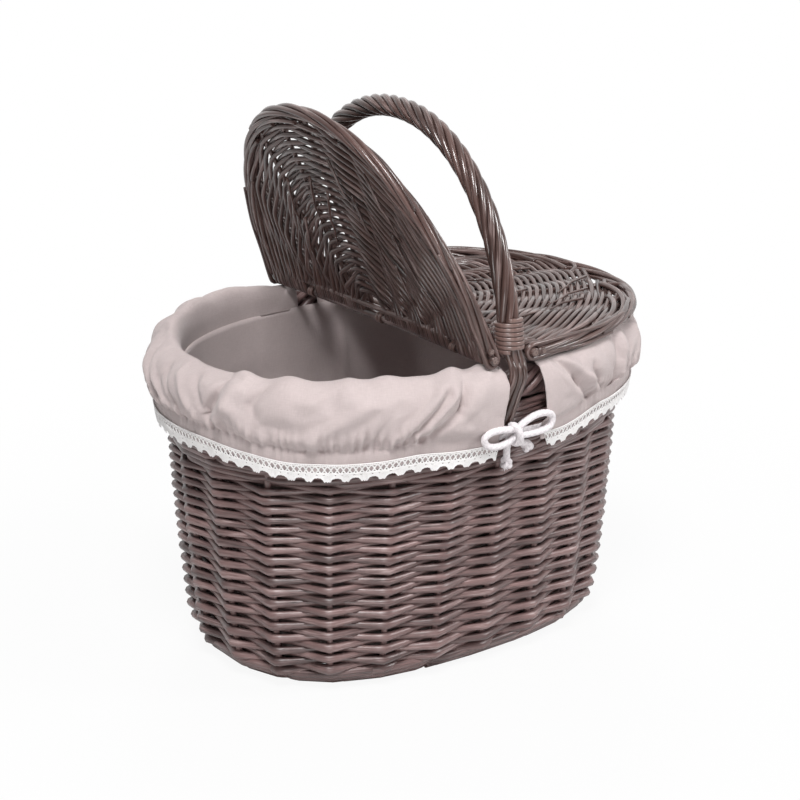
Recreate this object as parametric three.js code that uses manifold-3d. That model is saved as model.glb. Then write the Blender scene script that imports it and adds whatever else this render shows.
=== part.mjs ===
// Oval willow picnic basket with two hinged lids, a bow handle and a tied cloth lining.
// Millimetres, +Z up. The origin is the middle of the flat underside, +X points to the right-hand lid.
import * as THREE from 'three';
import { mergeVertices } from 'three/addons/utils/BufferGeometryUtils.js';
import Module from 'manifold-3d';

const wasm = await Module();
wasm.setup();

// Body outline
const bodyHeight = 260;
const rimHalfLength = 200;
const rimHalfWidth = 150;
const rimRoundness = 2.2;
const baseHalfLength = 178;
const baseHalfWidth = 120;
const baseRoundness = 2.6;
const bellyBulge = 2.4;
const footHeight = 30;
const footTuck = 27;

// Gap between pieces that touch, and the wider one between faceted pieces that follow a curve
const touchGap = 0.3;
const curveGap = 0.5;

// Weave of the wall and its bands
const weaveThickness = 8;
const weaveRelief = 6;
const weaveCrossing = 4;
const weaveRows = 6;
const footWaleHeight = 14;
const footWaleWidth = 11;
const topWaleHeight = 16;
const borderHeight = 30;
const borderDepth = 13;
const borderSwell = 1.5;
const stakeCount = 22;
const stakeRadius = 2.5;

// Base
const baseStickRadius = 2.4;
const baseSkin = 0.8;
const longStickCount = 3;
const longStickPitch = 13;
const crossStickCount = 5;
const crossStickPitch = 26;

// Handle
const archRise = 181;
const archRoundness = 2.09;
const handleRadius = 9;
const coreRadius = 4;
const handleFootHeight = 18;
const legLength = 56;
const legTopRadius = 6.2;
const legFootRadius = 5.6;
const bindingRodRadius = 1.2;
const bindingTurns = 7;
const bindingPitch = 3.5;

// Lids
const lidBorderRadius = 6.5;
const lidSideClearance = 1.8;
const lidEndOverhang = 9;
const lidRoundness = 2.11;
const lidOpenAngle = 68;
const panelThickness = 9;
const panelRelief = 1.4;
const panelCrossing = 2.1;
const panelBands = 5;
const hingeStickRadius = 3.5;
const secondStickRadius = 2.5;
const stickSpacing = 8.7;
const stickProud = 0.8;
const ribCount = 7;
const ribRootPitch = 24.5;
const ribEdgePitch = 40;
const ribRadius = 2.2;
const rightFanShift = 17;
const leftFanShift = -6;

// Hinge bar and the ties that hold the lids to it
const hingeBarRadius = 4;
const tieThickness = 1.4;
const tieWidth = 8;
const tiePitch = 100;
const tieStagger = 8;
const tieCount = 3;

// Cloth lining
const clothThickness = 2;
const foldRise = 4.2;
const seamDrop = 14;
const cuffDrop = 60;
const cuffPuff = 11.5;
const casingHeight = 10.5;
const laceHeight = 10.7;
const laceThickness = 1;
const slitShortSide = 12;
const slitLongSide = 29;
const foldCount = 14;
const foldDepth = 3;

// Cord and its bows
const cordRadius = 2.8;
const cordTuck = 3;
const knotHalfWidth = 7.5;
const knotHalfDepth = 6.2;
const endKnotRadius = 4.6;

// Facet counts
const wallSegments = 2 * stakeCount;
const cuffSegments = 54;
const rodSides = 8;
const handleSides = 10;
const stakeSides = 4;
const archSteps = 24;
const lidSteps = 22;
const cornerColumns = 3;
const bindingSteps = 14;
const bindingSides = 5;

// Places worked out from the sizes above
const radians = Math.PI / 180;
const foldTop = bodyHeight + foldRise;
const lidPlane = foldTop + touchGap + lidBorderRadius;
const bindingRadius = handleRadius + touchGap + bindingRodRadius;
const hingeOffset = bindingRadius + bindingRodRadius + lidSideClearance + lidBorderRadius;
const lidReach = rimHalfLength + lidEndOverhang - hingeOffset;
const lidHalfWidth = rimHalfWidth;
const panelStart = stickSpacing + secondStickRadius + touchGap;
const stakeInset = weaveThickness + touchGap + stakeRadius;
const liningInset = stakeInset + stakeRadius + curveGap;
const borderFoot = bodyHeight - borderHeight;
const topWaleFoot = borderFoot - topWaleHeight;
const weaveFoot = footWaleHeight + touchGap;
const baseThickness = 4 * baseStickRadius + 2 * baseSkin + 2 * touchGap;
const hemHeight = bodyHeight - cuffDrop;
const casingMiddle = hemHeight + casingHeight / 2;
const cordStandOff = cordRadius + curveGap;
const casingStandOff = cordStandOff + cordRadius + foldDepth / 4 + curveGap;
const handleFoot = bodyHeight + handleFootHeight;
const bodyMiddle = bodyHeight / 2;
const stakeLevels = [weaveFoot, footHeight, bodyMiddle, borderFoot + stakeRadius];

// Outline of the wall: a rounded oval that widens upwards and tucks in at the foot
function wallAt(z) {
  const rise = z / bodyHeight;
  const belly = 4 * bellyBulge * rise * (1 - rise);
  const below = Math.max(0, 1 - z / footHeight);
  const tuck = footTuck * (1 - Math.sqrt(1 - below * below));
  return {
    halfLength: THREE.MathUtils.lerp(baseHalfLength, rimHalfLength, rise) + belly - tuck,
    halfWidth: THREE.MathUtils.lerp(baseHalfWidth, rimHalfWidth, rise) + belly - tuck,
    roundness: THREE.MathUtils.lerp(baseRoundness, rimRoundness, rise),
    z,
    fold: 0,
  };
}

function insideWall(inset, z, fold = 0) {
  const wall = wallAt(z);
  return { ...wall, halfLength: wall.halfLength - inset, halfWidth: wall.halfWidth - inset, fold };
}

function ovalPoint(oval, angle) {
  const power = 2 / oval.roundness;
  const x = Math.sign(Math.cos(angle)) * Math.abs(Math.cos(angle)) ** power;
  const y = Math.sign(Math.sin(angle)) * Math.abs(Math.sin(angle)) ** power;
  return new THREE.Vector3(oval.halfLength * x, oval.halfWidth * y, oval.z);
}

// Angles of points that lie at even distances round the wall
function evenAngles(count) {
  const oval = wallAt(bodyMiddle);
  const fine = 40 * count;
  const turn = 2 * Math.PI / fine;
  const walked = [0];
  for (let i = 0; i < fine; i++) {
    walked.push(walked[i] + ovalPoint(oval, i * turn).distanceTo(ovalPoint(oval, (i + 1) * turn)));
  }
  const angles = [];
  let i = 0;
  for (let k = 0; k < count; k++) {
    const wanted = walked[fine] * k / count;
    while (walked[i + 1] <= wanted) i++;
    angles.push((i + (wanted - walked[i]) / (walked[i + 1] - walked[i])) * turn);
  }
  return angles;
}

// Half the oval's width at a distance x from its middle
function sideReach(halfLength, halfWidth, roundness, x) {
  return halfWidth * (1 - Math.abs(x / halfLength) ** roundness) ** (1 / roundness);
}

// Point in front of the near side of the wall, at a stand-off from the weave
function nearWall(x, z, standOff) {
  const wall = wallAt(z);
  const reach = sideReach(wall.halfLength, wall.halfWidth, wall.roundness, x);
  return new THREE.Vector3(x, -reach - standOff, z);
}

// Closed bodies and their cuts
function closed(geometry) {
  geometry.deleteAttribute('normal');
  geometry.deleteAttribute('uv');
  const merged = mergeVertices(geometry, 1e-4);
  const place = merged.getAttribute('position');
  const corners = merged.getIndex().array;
  const kept = [];
  let volume = 0;
  const [a, b, c] = [new THREE.Vector3(), new THREE.Vector3(), new THREE.Vector3()];
  for (let i = 0; i < corners.length; i += 3) {
    const face = [corners[i], corners[i + 1], corners[i + 2]];
    if (new Set(face).size < 3) continue;
    kept.push(face);
    a.fromBufferAttribute(place, face[0]);
    b.fromBufferAttribute(place, face[1]);
    c.fromBufferAttribute(place, face[2]);
    volume += a.dot(b.cross(c));
  }
  const outward = volume < 0 ? kept.map((face) => [face[0], face[2], face[1]]) : kept;
  merged.setIndex(outward.flat());
  return merged;
}

function toSolid(geometry) {
  const body = closed(geometry.clone());
  const vertProperties = new Float32Array(body.getAttribute('position').array);
  const triVerts = new Uint32Array(body.getIndex().array);
  return new wasm.Manifold(new wasm.Mesh({ numProp: 3, vertProperties, triVerts }));
}

function toGeometry(solid) {
  const mesh = solid.getMesh();
  const geometry = new THREE.BufferGeometry();
  geometry.setAttribute('position', new THREE.BufferAttribute(new Float32Array(mesh.vertProperties), 3));
  geometry.setIndex(Array.from(mesh.triVerts));
  return closed(geometry);
}

function cut(geometry, ...tools) {
  return toGeometry(tools.reduce((body, tool) => body.subtract(toSolid(tool)), toSolid(geometry)));
}

function joined(...pieces) {
  return toGeometry(pieces.map(toSolid).reduce((body, piece) => body.add(piece)));
}

function common(first, second) {
  return toGeometry(toSolid(first).intersect(toSolid(second)));
}

// A lathe drawn out to the oval: each profile point keeps its own half-length and half-width
function ovalBody(profile, segments) {
  const turned = new THREE.LatheGeometry(profile.map((point) => new THREE.Vector2(1, point.z)), segments);
  const place = turned.getAttribute('position');
  const angles = evenAngles(segments);
  for (let i = 0; i <= segments; i++) {
    const angle = angles[i % segments];
    profile.forEach((point, j) => {
      const swell = point.fold * clothWave(angle) - weaveDepth(point.row, i % segments);
      const oval = { ...point, halfLength: point.halfLength + swell, halfWidth: point.halfWidth + swell };
      const p = ovalPoint(oval, angle);
      place.setXYZ(i * profile.length + j, p.x, p.y, p.z);
    });
  }
  return closed(turned);
}

function ovalRing(profile, segments) {
  return ovalBody([...profile, profile[0]], segments);
}

// How far the face of a woven row lies back from the outline: not at all in front of a stake,
// most of all behind the next one, and in between it crosses to the other side
function weaveDepth(row, i) {
  if (row === undefined) return 0;
  if (i % 2 === 0) return weaveCrossing;
  return (row + (i - 1) / 2) % 2 === 0 ? 0 : weaveRelief;
}

// The lining's main folds round the oval
function clothWave(angle) {
  return 0.65 * Math.sin(foldCount * angle + 0.4) + 0.35 * Math.sin((foldCount - 6) * angle + 1.9);
}

// A closed band of even thickness on one side of a line of [inset, height, fold] points
function thickLine(line, thickness) {
  const offset = line.map(([inset, z, fold], i) => {
    const before = line[Math.max(0, i - 1)];
    const after = line[Math.min(line.length - 1, i + 1)];
    const isEnd = i === 0 || i === line.length - 1;
    const along = new THREE.Vector2(isEnd ? 0 : after[0] - before[0], after[1] - before[1]).normalize();
    return insideWall(inset + thickness * along.y, z - thickness * along.x, fold);
  });
  return [...line.map(([inset, z, fold]) => insideWall(inset, z, fold)), ...offset.reverse()];
}

function disc(radius, sides) {
  const points = [];
  for (let i = 0; i < sides; i++) {
    const angle = i * 2 * Math.PI / sides;
    points.push(new THREE.Vector2(radius * Math.cos(angle), radius * Math.sin(angle)));
  }
  return points;
}

function tube(points, radius, steps, sides = rodSides, boreRadius = 0) {
  const section = new THREE.Shape(disc(radius, sides));
  if (boreRadius > 0) section.holes.push(new THREE.Path(disc(boreRadius, rodSides)));
  const extrudePath = new THREE.CatmullRomCurve3(points, false, 'centripetal');
  return closed(new THREE.ExtrudeGeometry(section, { steps, extrudePath, bevelEnabled: false, curveSegments: 1 }));
}

function rod(radius, length) {
  return new THREE.CylinderGeometry(radius, radius, length, rodSides);
}

// A hole for a round rod, wide enough at its flats
function rodHole(radius, length) {
  return rod((radius + touchGap) / Math.cos(Math.PI / rodSides), length);
}

function spaced(count, pitch) {
  return Array.from({ length: count }, (unused, i) => (i - (count - 1) / 2) * pitch);
}

// Materials
function finish(color, roughness) {
  return new THREE.MeshStandardMaterial({ color, roughness, metalness: 0 });
}
const finishes = {
  willow: () => finish(0x5d4c46, 0.5),
  peeledWillow: () => finish(0x6b5750, 0.4),
  cloth: () => finish(0xa79b98, 0.95),
  lace: () => finish(0xece8e6, 0.9),
  cord: () => finish(0xe9e4e4, 0.85),
};

const basket = new THREE.Group();

function add(parent, name, geometry, material) {
  const mesh = new THREE.Mesh(geometry, material);
  mesh.name = name;
  geometry.computeVertexNormals();
  parent.add(mesh);
  return mesh;
}

// Base: an oval mat woven round long sticks that lie over cross sticks
function makeBase() {
  const foot = wallAt(0);
  const edge = {
    ...foot,
    halfLength: foot.halfLength - footWaleWidth - touchGap,
    halfWidth: foot.halfWidth - footWaleWidth - touchGap,
  };
  const outline = evenAngles(wallSegments).map((angle) => {
    const p = ovalPoint(edge, angle);
    return new THREE.Vector2(p.x, p.y);
  });
  const mat = new THREE.ExtrudeGeometry(new THREE.Shape(outline), { depth: baseThickness, bevelEnabled: false });
  const crossHeight = baseSkin + baseStickRadius;
  const longHeight = baseThickness - baseSkin - baseStickRadius;
  const holes = [];
  const sticks = [];
  spaced(longStickCount, longStickPitch).forEach((y, i) => {
    const reach = sideReach(edge.halfWidth, edge.halfLength, edge.roundness, y) - curveGap;
    const lay = (geometry) => geometry.rotateZ(Math.PI / 2).translate(0, y, longHeight);
    holes.push(lay(rodHole(baseStickRadius, 2 * rimHalfLength)));
    sticks.push([`base_long_stick_${i + 1}`, lay(rod(baseStickRadius, 2 * reach))]);
  });
  spaced(crossStickCount, crossStickPitch).forEach((x, i) => {
    const reach = sideReach(edge.halfLength, edge.halfWidth, edge.roundness, x) - curveGap;
    const lay = (geometry) => geometry.translate(x, 0, crossHeight);
    holes.push(lay(rodHole(baseStickRadius, 2 * rimHalfLength)));
    sticks.push([`base_cross_stick_${i + 1}`, lay(rod(baseStickRadius, 2 * reach))]);
  });
  add(basket, 'base_weave', cut(mat, ...holes), finishes.willow());
  sticks.forEach(([name, geometry]) => add(basket, name, closed(geometry), finishes.peeledWillow()));
  return edge;
}
const baseEdge = makeBase();

// Handle: a bow with twisted rods round it, and their tapered legs down the outside of the wall
function archPoint(angle) {
  const power = 2 / archRoundness;
  const y = -Math.sign(Math.cos(angle)) * Math.abs(Math.cos(angle)) ** power * rimHalfWidth;
  return new THREE.Vector3(0, y, bodyHeight + archRise * Math.sin(angle) ** power);
}

function archAngle(z) {
  return Math.asin(((z - bodyHeight) / archRise) ** (archRoundness / 2));
}

function archPoints(fromHeight, count) {
  const start = archAngle(fromHeight);
  const points = [];
  for (let i = 0; i <= count; i++) {
    points.push(archPoint(start + (Math.PI - 2 * start) * i / count));
  }
  return points;
}

const legTop = archPoint(archAngle(handleFoot));
const legFoot = nearWall(0, handleFoot - legLength, 0);

function alongLeg(geometry) {
  const direction = legTop.clone().sub(legFoot).normalize();
  const turn = new THREE.Quaternion().setFromUnitVectors(new THREE.Vector3(0, 1, 0), direction);
  return geometry.applyQuaternion(turn).translate(legFoot.x, legFoot.y, legFoot.z);
}

const legSpan = legTop.distanceTo(legFoot) - 2 * curveGap;
const bore = (coreRadius + curveGap) / Math.cos(Math.PI / rodSides);

function legCutter() {
  const length = legSpan + 2 * touchGap;
  const wide = new THREE.CylinderGeometry(legTopRadius + curveGap, legFootRadius + curveGap, length, rodSides);
  return alongLeg(wide.translate(0, length / 2 - touchGap, 0));
}

function makeHandle() {
  const arch = archPoints(handleFoot, archSteps);
  const farFoot = legFoot.clone().setY(-legFoot.y);
  const core = tube([legFoot, ...arch, farFoot], coreRadius, archSteps + 4);
  add(basket, 'handle_core', core, finishes.peeledWillow());
  const wrap = tube(arch, handleRadius, archSteps, handleSides, bore);
  add(basket, 'handle_wrap', wrap, finishes.peeledWillow());
  const section = [
    new THREE.Vector2(bore, 0),
    new THREE.Vector2(legFootRadius, 0),
    new THREE.Vector2(legTopRadius, legSpan),
    new THREE.Vector2(bore, legSpan),
    new THREE.Vector2(bore, 0),
  ];
  for (const [side, turn] of [['near', 0], ['far', Math.PI]]) {
    const leg = add(basket, `handle_leg_${side}`, alongLeg(closed(new THREE.LatheGeometry(section, rodSides))),
      finishes.peeledWillow());
    leg.rotation.z = turn;
    const binding = add(basket, `handle_binding_${side}`, makeBinding(), finishes.peeledWillow());
    binding.rotation.z = turn;
  }
}

// One split rod wound round the foot of the handle
function bindingPoints() {
  const points = [];
  for (let i = 0; i <= bindingTurns * bindingSteps; i++) {
    const turns = i / bindingSteps;
    const middle = archPoint(archAngle(handleFoot + bindingRodRadius + touchGap + turns * bindingPitch));
    const above = archPoint(archAngle(middle.z + 1));
    const up = above.sub(middle).normalize();
    const across = new THREE.Vector3(1, 0, 0);
    const outward = new THREE.Vector3().crossVectors(across, up);
    const angle = turns * 2 * Math.PI;
    points.push(middle.addScaledVector(across, bindingRadius * Math.cos(angle))
      .addScaledVector(outward, bindingRadius * Math.sin(angle)));
  }
  return points;
}

function leastBindingGap() {
  const points = bindingPoints();
  let least = Infinity;
  points.forEach((p, i) => {
    points.slice(i + bindingSteps / 2).forEach((q) => {
      least = Math.min(least, p.distanceTo(q));
    });
  });
  return least - 2 * bindingRodRadius;
}

function makeBinding() {
  return tube(bindingPoints(), bindingRodRadius, bindingTurns * bindingSteps, bindingSides);
}
makeHandle();
console.log('handle binding, least gap between turns:', leastBindingGap().toFixed(2), 'mm');

// One side stake: it stands on the foot wale and follows the inside of the weave
function makeStake(angle) {
  const spans = stakeLevels.length - 1;
  const stake = new THREE.CylinderGeometry(stakeRadius, stakeRadius, spans, stakeSides, spans);
  const place = stake.getAttribute('position');
  for (let i = 0; i < place.count; i++) {
    const z = stakeLevels[Math.round(place.getY(i) + spans / 2)];
    const middle = ovalPoint(insideWall(stakeInset, z), angle);
    place.setXYZ(i, middle.x + place.getX(i), middle.y + place.getZ(i), z);
  }
  return closed(stake);
}

// Wall: foot wale, plain weave, top wale and plaited border, all round the side stakes
function makeWall() {
  const footSection = [0, 2, 7, footWaleHeight].map((z) => wallAt(z));
  const footTop = insideWall(stakeInset + stakeRadius, footWaleHeight);
  const seat = (z) => ({ ...baseEdge, halfLength: baseEdge.halfLength + touchGap,
    halfWidth: baseEdge.halfWidth + touchGap, z });
  const foot = ovalRing([...footSection, footTop, seat(baseThickness), seat(0)], wallSegments);
  add(basket, 'foot_wale', foot, finishes.willow());

  const weaveTop = topWaleFoot - touchGap;
  const rowHeight = (weaveTop - weaveFoot) / weaveRows;
  const outside = [];
  for (let row = 0; row < weaveRows; row++) {
    const foot = weaveFoot + row * rowHeight;
    for (const z of [row > 0 ? foot + touchGap : foot, foot + rowHeight]) {
      outside.push({ ...wallAt(z), row });
    }
  }
  const inside = [...stakeLevels.slice(0, -1), weaveTop].map((z) => insideWall(weaveThickness, z));
  const weave = ovalRing([...outside, ...inside.reverse()], wallSegments);
  const legs = [legCutter(), legCutter().rotateZ(Math.PI)];
  add(basket, 'wall_weave', cut(weave, ...legs), finishes.willow());

  const waleMiddle = topWaleFoot + topWaleHeight / 2;
  const wale = ovalRing([
    insideWall(0, topWaleFoot),
    insideWall(-borderSwell / 2, waleMiddle),
    insideWall(0, borderFoot - touchGap),
    insideWall(weaveThickness, borderFoot - touchGap),
    insideWall(weaveThickness, topWaleFoot),
  ], wallSegments);
  add(basket, 'top_wale', cut(wale, ...legs), finishes.willow());

  const crown = borderHeight / 10;
  const border = ovalRing([
    insideWall(borderSwell / 2, borderFoot),
    insideWall(-borderSwell, borderFoot + borderHeight / 3),
    insideWall(-borderSwell / 2, bodyHeight - 2 * crown),
    insideWall(borderDepth / 4, bodyHeight - crown / 4),
    insideWall(borderDepth / 2, bodyHeight),
    insideWall(borderDepth * 0.82, bodyHeight - crown),
    insideWall(borderDepth, bodyHeight - borderHeight / 3),
    insideWall(borderDepth, borderFoot),
  ], wallSegments);
  // The side stakes are bent over at the top and plaited into the border, so they are one body with it
  const stakes = evenAngles(wallSegments).filter((angle, i) => i % 2 === 1).map(makeStake);
  add(basket, 'stakes_and_border', joined(cut(border, ...legs), ...stakes), finishes.willow());
}
makeWall();

// Hinge bar between the handle's legs, and the willow ties that loop round it and a lid's stick
function makeHinge() {
  const legs = [legCutter(), legCutter().rotateZ(Math.PI)];
  const bar = rod(hingeBarRadius, 2 * rimHalfWidth).translate(0, 0, lidPlane);
  add(basket, 'hinge_bar', cut(bar, ...legs), finishes.peeledWillow());
  const inner = loopOutline(hingeBarRadius + touchGap, hingeStickRadius + touchGap);
  const outer = loopOutline(hingeBarRadius + touchGap + tieThickness, hingeStickRadius + touchGap + tieThickness);
  const section = new THREE.Shape(outer);
  section.holes.push(new THREE.Path(inner));
  for (const [side, turn] of [['right', 0], ['left', Math.PI]]) {
    spaced(tieCount, tiePitch).forEach((y, i) => {
      const tie = new THREE.ExtrudeGeometry(section, { depth: tieWidth, bevelEnabled: false });
      tie.rotateX(Math.PI / 2).translate(0, y + tieStagger + tieWidth / 2, lidPlane);
      const mesh = add(basket, `hinge_tie_${side}_${i + 1}`, closed(tie), finishes.peeledWillow());
      mesh.rotation.z = turn;
    });
  }
}

// Outline of a band round two circles, one at the origin and one at the hinge offset
function loopOutline(barRadius, stickRadius) {
  const lean = Math.acos((barRadius - stickRadius) / hingeOffset);
  const points = [];
  const arc = (x, radius, from, to, steps) => {
    for (let i = 0; i <= steps; i++) {
      const angle = from + (to - from) * i / steps;
      const reach = radius / Math.cos((to - from) / steps / 2);
      points.push(new THREE.Vector2(x + reach * Math.cos(angle), reach * Math.sin(angle)));
    }
  };
  arc(hingeOffset, stickRadius, -lean, lean, 4);
  arc(0, barRadius, lean, 2 * Math.PI - lean, 4);
  return points;
}
makeHinge();

// Lids: a border round a woven panel, ribs inside the weave and two sticks at the hinge
function lidOutline(inset) {
  return { halfLength: lidReach - inset, halfWidth: lidHalfWidth - inset, roundness: lidRoundness, z: 0 };
}

function lidCurve(inset, count) {
  const points = [];
  for (let i = 0; i <= count; i++) {
    points.push(ovalPoint(lidOutline(inset), -Math.PI / 2 + Math.PI * i / count));
  }
  return points;
}

const panelInset = lidBorderRadius + curveGap;
const ribNumbers = spaced(ribCount, 1);

// Angle on the lid's outline at which a rib ends, and the place of its foot in the second stick
function ribAngle(number) {
  return Math.sign(number) * Math.asin(Math.abs(number * ribEdgePitch / lidHalfWidth) ** (lidRoundness / 2));
}

function ribRoot(number, shift) {
  return number * ribRootPitch + shift;
}

// A rib runs from the second stick towards its place on the border and ends inside the panel
function ribLine(number, shift) {
  const root = new THREE.Vector3(stickSpacing, ribRoot(number, shift), 0);
  const aim = ovalPoint(lidOutline(0), ribAngle(number));
  const direction = aim.sub(root).normalize();
  const side = new THREE.Vector3(-direction.y, direction.x, 0).multiplyScalar(ribRadius);
  const panel = lidOutline(panelInset + curveGap);
  const isInside = (p) => Math.abs(p.x / panel.halfLength) ** panel.roundness
    + Math.abs(p.y / panel.halfWidth) ** panel.roundness < 1;
  let length = 0;
  const tip = () => root.clone().addScaledVector(direction, length + curveGap);
  while (isInside(tip().add(side)) && isInside(tip().sub(side))) length += curveGap;
  return { root, direction, length };
}

function alongRib({ root, direction }, geometry, middle) {
  const turn = new THREE.Quaternion().setFromUnitVectors(new THREE.Vector3(0, 1, 0), direction);
  const place = root.clone().addScaledVector(direction, middle);
  return geometry.applyQuaternion(turn).translate(place.x, place.y, 0);
}

// Columns of the panel's weave: one over each rib, one between each two, and more out to the corners.
// Each goes from a point beside the second stick to one on the panel's edge.
function panelColumns(shift) {
  const panel = lidOutline(panelInset);
  const cornerAngle = Math.acos((panelStart / panel.halfLength) ** (panel.roundness / 2));
  const corner = ovalPoint(panel, cornerAngle);
  const between = ribNumbers.slice(1).map((number) => number - 0.5);
  const columns = [...ribNumbers, ...between].map((number) => ({
    order: number,
    rib: Number.isInteger(number) ? number : undefined,
    root: new THREE.Vector3(panelStart, ribRoot(number, shift), 0),
    edge: ovalPoint(panel, ribAngle(number)),
  }));
  const last = ribNumbers[ribCount - 1];
  for (const end of [-1, 1]) {
    for (let i = 1; i <= cornerColumns; i++) {
      const share = i / cornerColumns;
      const angle = THREE.MathUtils.lerp(ribAngle(last), cornerAngle, share);
      const root = THREE.MathUtils.lerp(ribRoot(end * last, shift), end * corner.y, share);
      columns.push({
        order: end * (last + share),
        root: new THREE.Vector3(panelStart, root, 0),
        edge: ovalPoint(panel, end * angle),
      });
    }
  }
  return columns.sort((a, b) => a.order - b.order);
}

// The panel's weave passes over one rib and under the next, and is thin between them
function makePanel(shift) {
  const columns = panelColumns(shift);
  const half = panelThickness / 2;
  const corners = [];
  for (const face of [1, -1]) {
    for (const { rib, root, edge } of columns) {
      for (let band = 0; band <= panelBands; band++) {
        const p = root.clone().lerp(edge, band / panelBands);
        const isOver = rib !== undefined && (rib + band + (face > 0 ? 0 : 1)) % 2 === 0;
        p.z = face * (half - (rib === undefined ? panelCrossing : isOver ? 0 : panelRelief));
        corners.push(p);
      }
    }
  }
  const rings = panelBands + 1;
  const below = columns.length * rings;
  const faces = [];
  const quad = (a, b, c, d) => faces.push(a, b, c, a, c, d);
  for (let c = 0; c + 1 < columns.length; c++) {
    const [here, next] = [c * rings, (c + 1) * rings];
    for (let band = 0; band < panelBands; band++) {
      quad(here + band, here + band + 1, next + band + 1, next + band);
      quad(below + here + band, below + next + band, below + next + band + 1, below + here + band + 1);
    }
    quad(here, next, below + next, below + here);
    const tip = panelBands;
    quad(here + tip, below + here + tip, below + next + tip, next + tip);
  }
  const panel = new THREE.BufferGeometry().setFromPoints(corners);
  panel.setIndex(faces);
  return panel;
}

function makeLid(side, shift) {
  const lid = new THREE.Group();
  const stickLength = 2 * (lidHalfWidth + lidBorderRadius + stickProud);
  const hingeHole = rodHole(hingeStickRadius, 2 * stickLength);
  const secondHole = rodHole(secondStickRadius, 2 * stickLength).translate(stickSpacing, 0, 0);
  let border = tube(lidCurve(0, lidSteps), lidBorderRadius, lidSteps);
  for (const end of [-1, 1]) {
    border = joined(border, rod(lidBorderRadius, 2 * lidBorderRadius).translate(0, end * lidHalfWidth, 0));
  }
  add(lid, `${side}_lid_border`, cut(border, hingeHole, secondHole), finishes.willow());
  add(lid, `${side}_lid_hinge_stick`, closed(rod(hingeStickRadius, stickLength)), finishes.peeledWillow());

  const lines = ribNumbers.map((number) => ribLine(number, shift));
  const holes = lines.map((line) => alongRib(line, rodHole(ribRadius, 2 * lidReach), lidReach / 2));
  const ribs = lines.map((line) => alongRib(line, rod(ribRadius, line.length), line.length / 2));
  add(lid, `${side}_lid_panel`, cut(makePanel(shift), ...holes), finishes.willow());
  // The ribs are pegged into the second stick, and the panel is woven on them
  const second = rod(secondStickRadius, stickLength).translate(stickSpacing, 0, 0);
  add(lid, `${side}_lid_rib_frame`, joined(second, ...ribs), finishes.peeledWillow());
  return lid;
}

function placeLids() {
  const right = makeLid('right', rightFanShift);
  right.position.set(hingeOffset, 0, lidPlane);
  const left = makeLid('left', leftFanShift);
  left.rotation.z = Math.PI;
  const opened = new THREE.Group();
  opened.add(left);
  opened.position.set(-hingeOffset, 0, lidPlane);
  opened.rotation.y = lidOpenAngle * radians;
  basket.add(right, opened);
}
placeLids();

// Lining: the bag inside the basket
function makeBag() {
  const floor = baseThickness + touchGap;
  const levels = [...stakeLevels, bodyHeight - seamDrop];
  const middle = (z) => ({ ...baseEdge, halfLength: 0, halfWidth: 0, z });
  const corner = (inset, z) => ({ ...baseEdge, halfLength: baseEdge.halfLength - inset,
    halfWidth: baseEdge.halfWidth - inset, z });
  const bag = ovalBody([
    middle(floor),
    corner(touchGap, floor),
    ...levels.map((z) => insideWall(liningInset, z)),
    ...levels.reverse().map((z) => insideWall(liningInset + clothThickness, z)),
    corner(clothThickness, floor + clothThickness),
    middle(floor + clothThickness),
  ], wallSegments);
  add(basket, 'lining_bag', bag, finishes.cloth());
}
makeBag();

// Region of the cuff on the left of the two slits, which lie at the handle's legs
function leftOfSlits() {
  const far = 2 * rimHalfLength;
  const region = new THREE.Shape([
    new THREE.Vector2(-far, -far),
    new THREE.Vector2(-slitShortSide, -far),
    new THREE.Vector2(-slitShortSide, 0),
    new THREE.Vector2(-slitLongSide, 0),
    new THREE.Vector2(-slitLongSide, far),
    new THREE.Vector2(-far, far),
  ]);
  return new THREE.ExtrudeGeometry(region, { depth: 2 * bodyHeight, bevelEnabled: false });
}

// The cuff turned over the rim, with its folds, its casing and the lace under it
function makeCuffs() {
  const puff = cuffPuff - clothThickness;
  const line = [
    [liningInset, bodyHeight - seamDrop + touchGap, 0],
    [liningInset - curveGap, bodyHeight - clothThickness, 0],
    [borderDepth * 0.42, foldTop - clothThickness, foldDepth / 6],
    [-puff / 2, bodyHeight - clothThickness, foldDepth / 3],
    [-puff, bodyHeight - cuffDrop * 0.26, foldDepth * 0.8],
    [-puff * 0.9, bodyHeight - cuffDrop * 0.62, foldDepth],
    [-casingStandOff, hemHeight + casingHeight, foldDepth / 3],
    [-casingStandOff, casingMiddle, foldDepth / 4],
    [-casingStandOff, hemHeight, foldDepth / 4],
  ];
  const cuff = ovalRing(thickLine(line, clothThickness), cuffSegments);
  const laceTop = hemHeight - touchGap;
  const laceLine = [
    [-casingStandOff, laceTop, foldDepth / 4],
    [-casingStandOff - laceThickness, laceTop - laceHeight, foldDepth / 3],
  ];
  const lace = ovalRing(thickLine(laceLine, laceThickness), cuffSegments);
  for (const [side, turn] of [['left', 0], ['right', Math.PI]]) {
    const region = leftOfSlits().rotateZ(turn);
    add(basket, `lining_cuff_${side}`, common(cuff, region), finishes.cloth());
    add(basket, `lace_trim_${side}`, common(lace, region), finishes.lace());
  }
}
makeCuffs();

// Drawstrings in the casings, from slit to slit
function makeDrawstrings() {
  const oval = insideWall(-cordStandOff, casingMiddle);
  const angleAt = (x) => Math.acos((x / oval.halfLength) ** (oval.roundness / 2));
  const from = Math.PI - angleAt(slitLongSide + cordTuck);
  const to = Math.PI + angleAt(slitShortSide + cordTuck);
  const points = [];
  const steps = 26;
  for (let i = 0; i <= steps; i++) {
    points.push(ovalPoint(oval, from + (to - from) * i / steps));
  }
  for (const [side, turn] of [['left', 0], ['right', Math.PI]]) {
    const cord = add(basket, `drawstring_${side}`, tube(points, cordRadius, steps), finishes.cord());
    cord.rotation.z = turn;
  }
}
makeDrawstrings();

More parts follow.
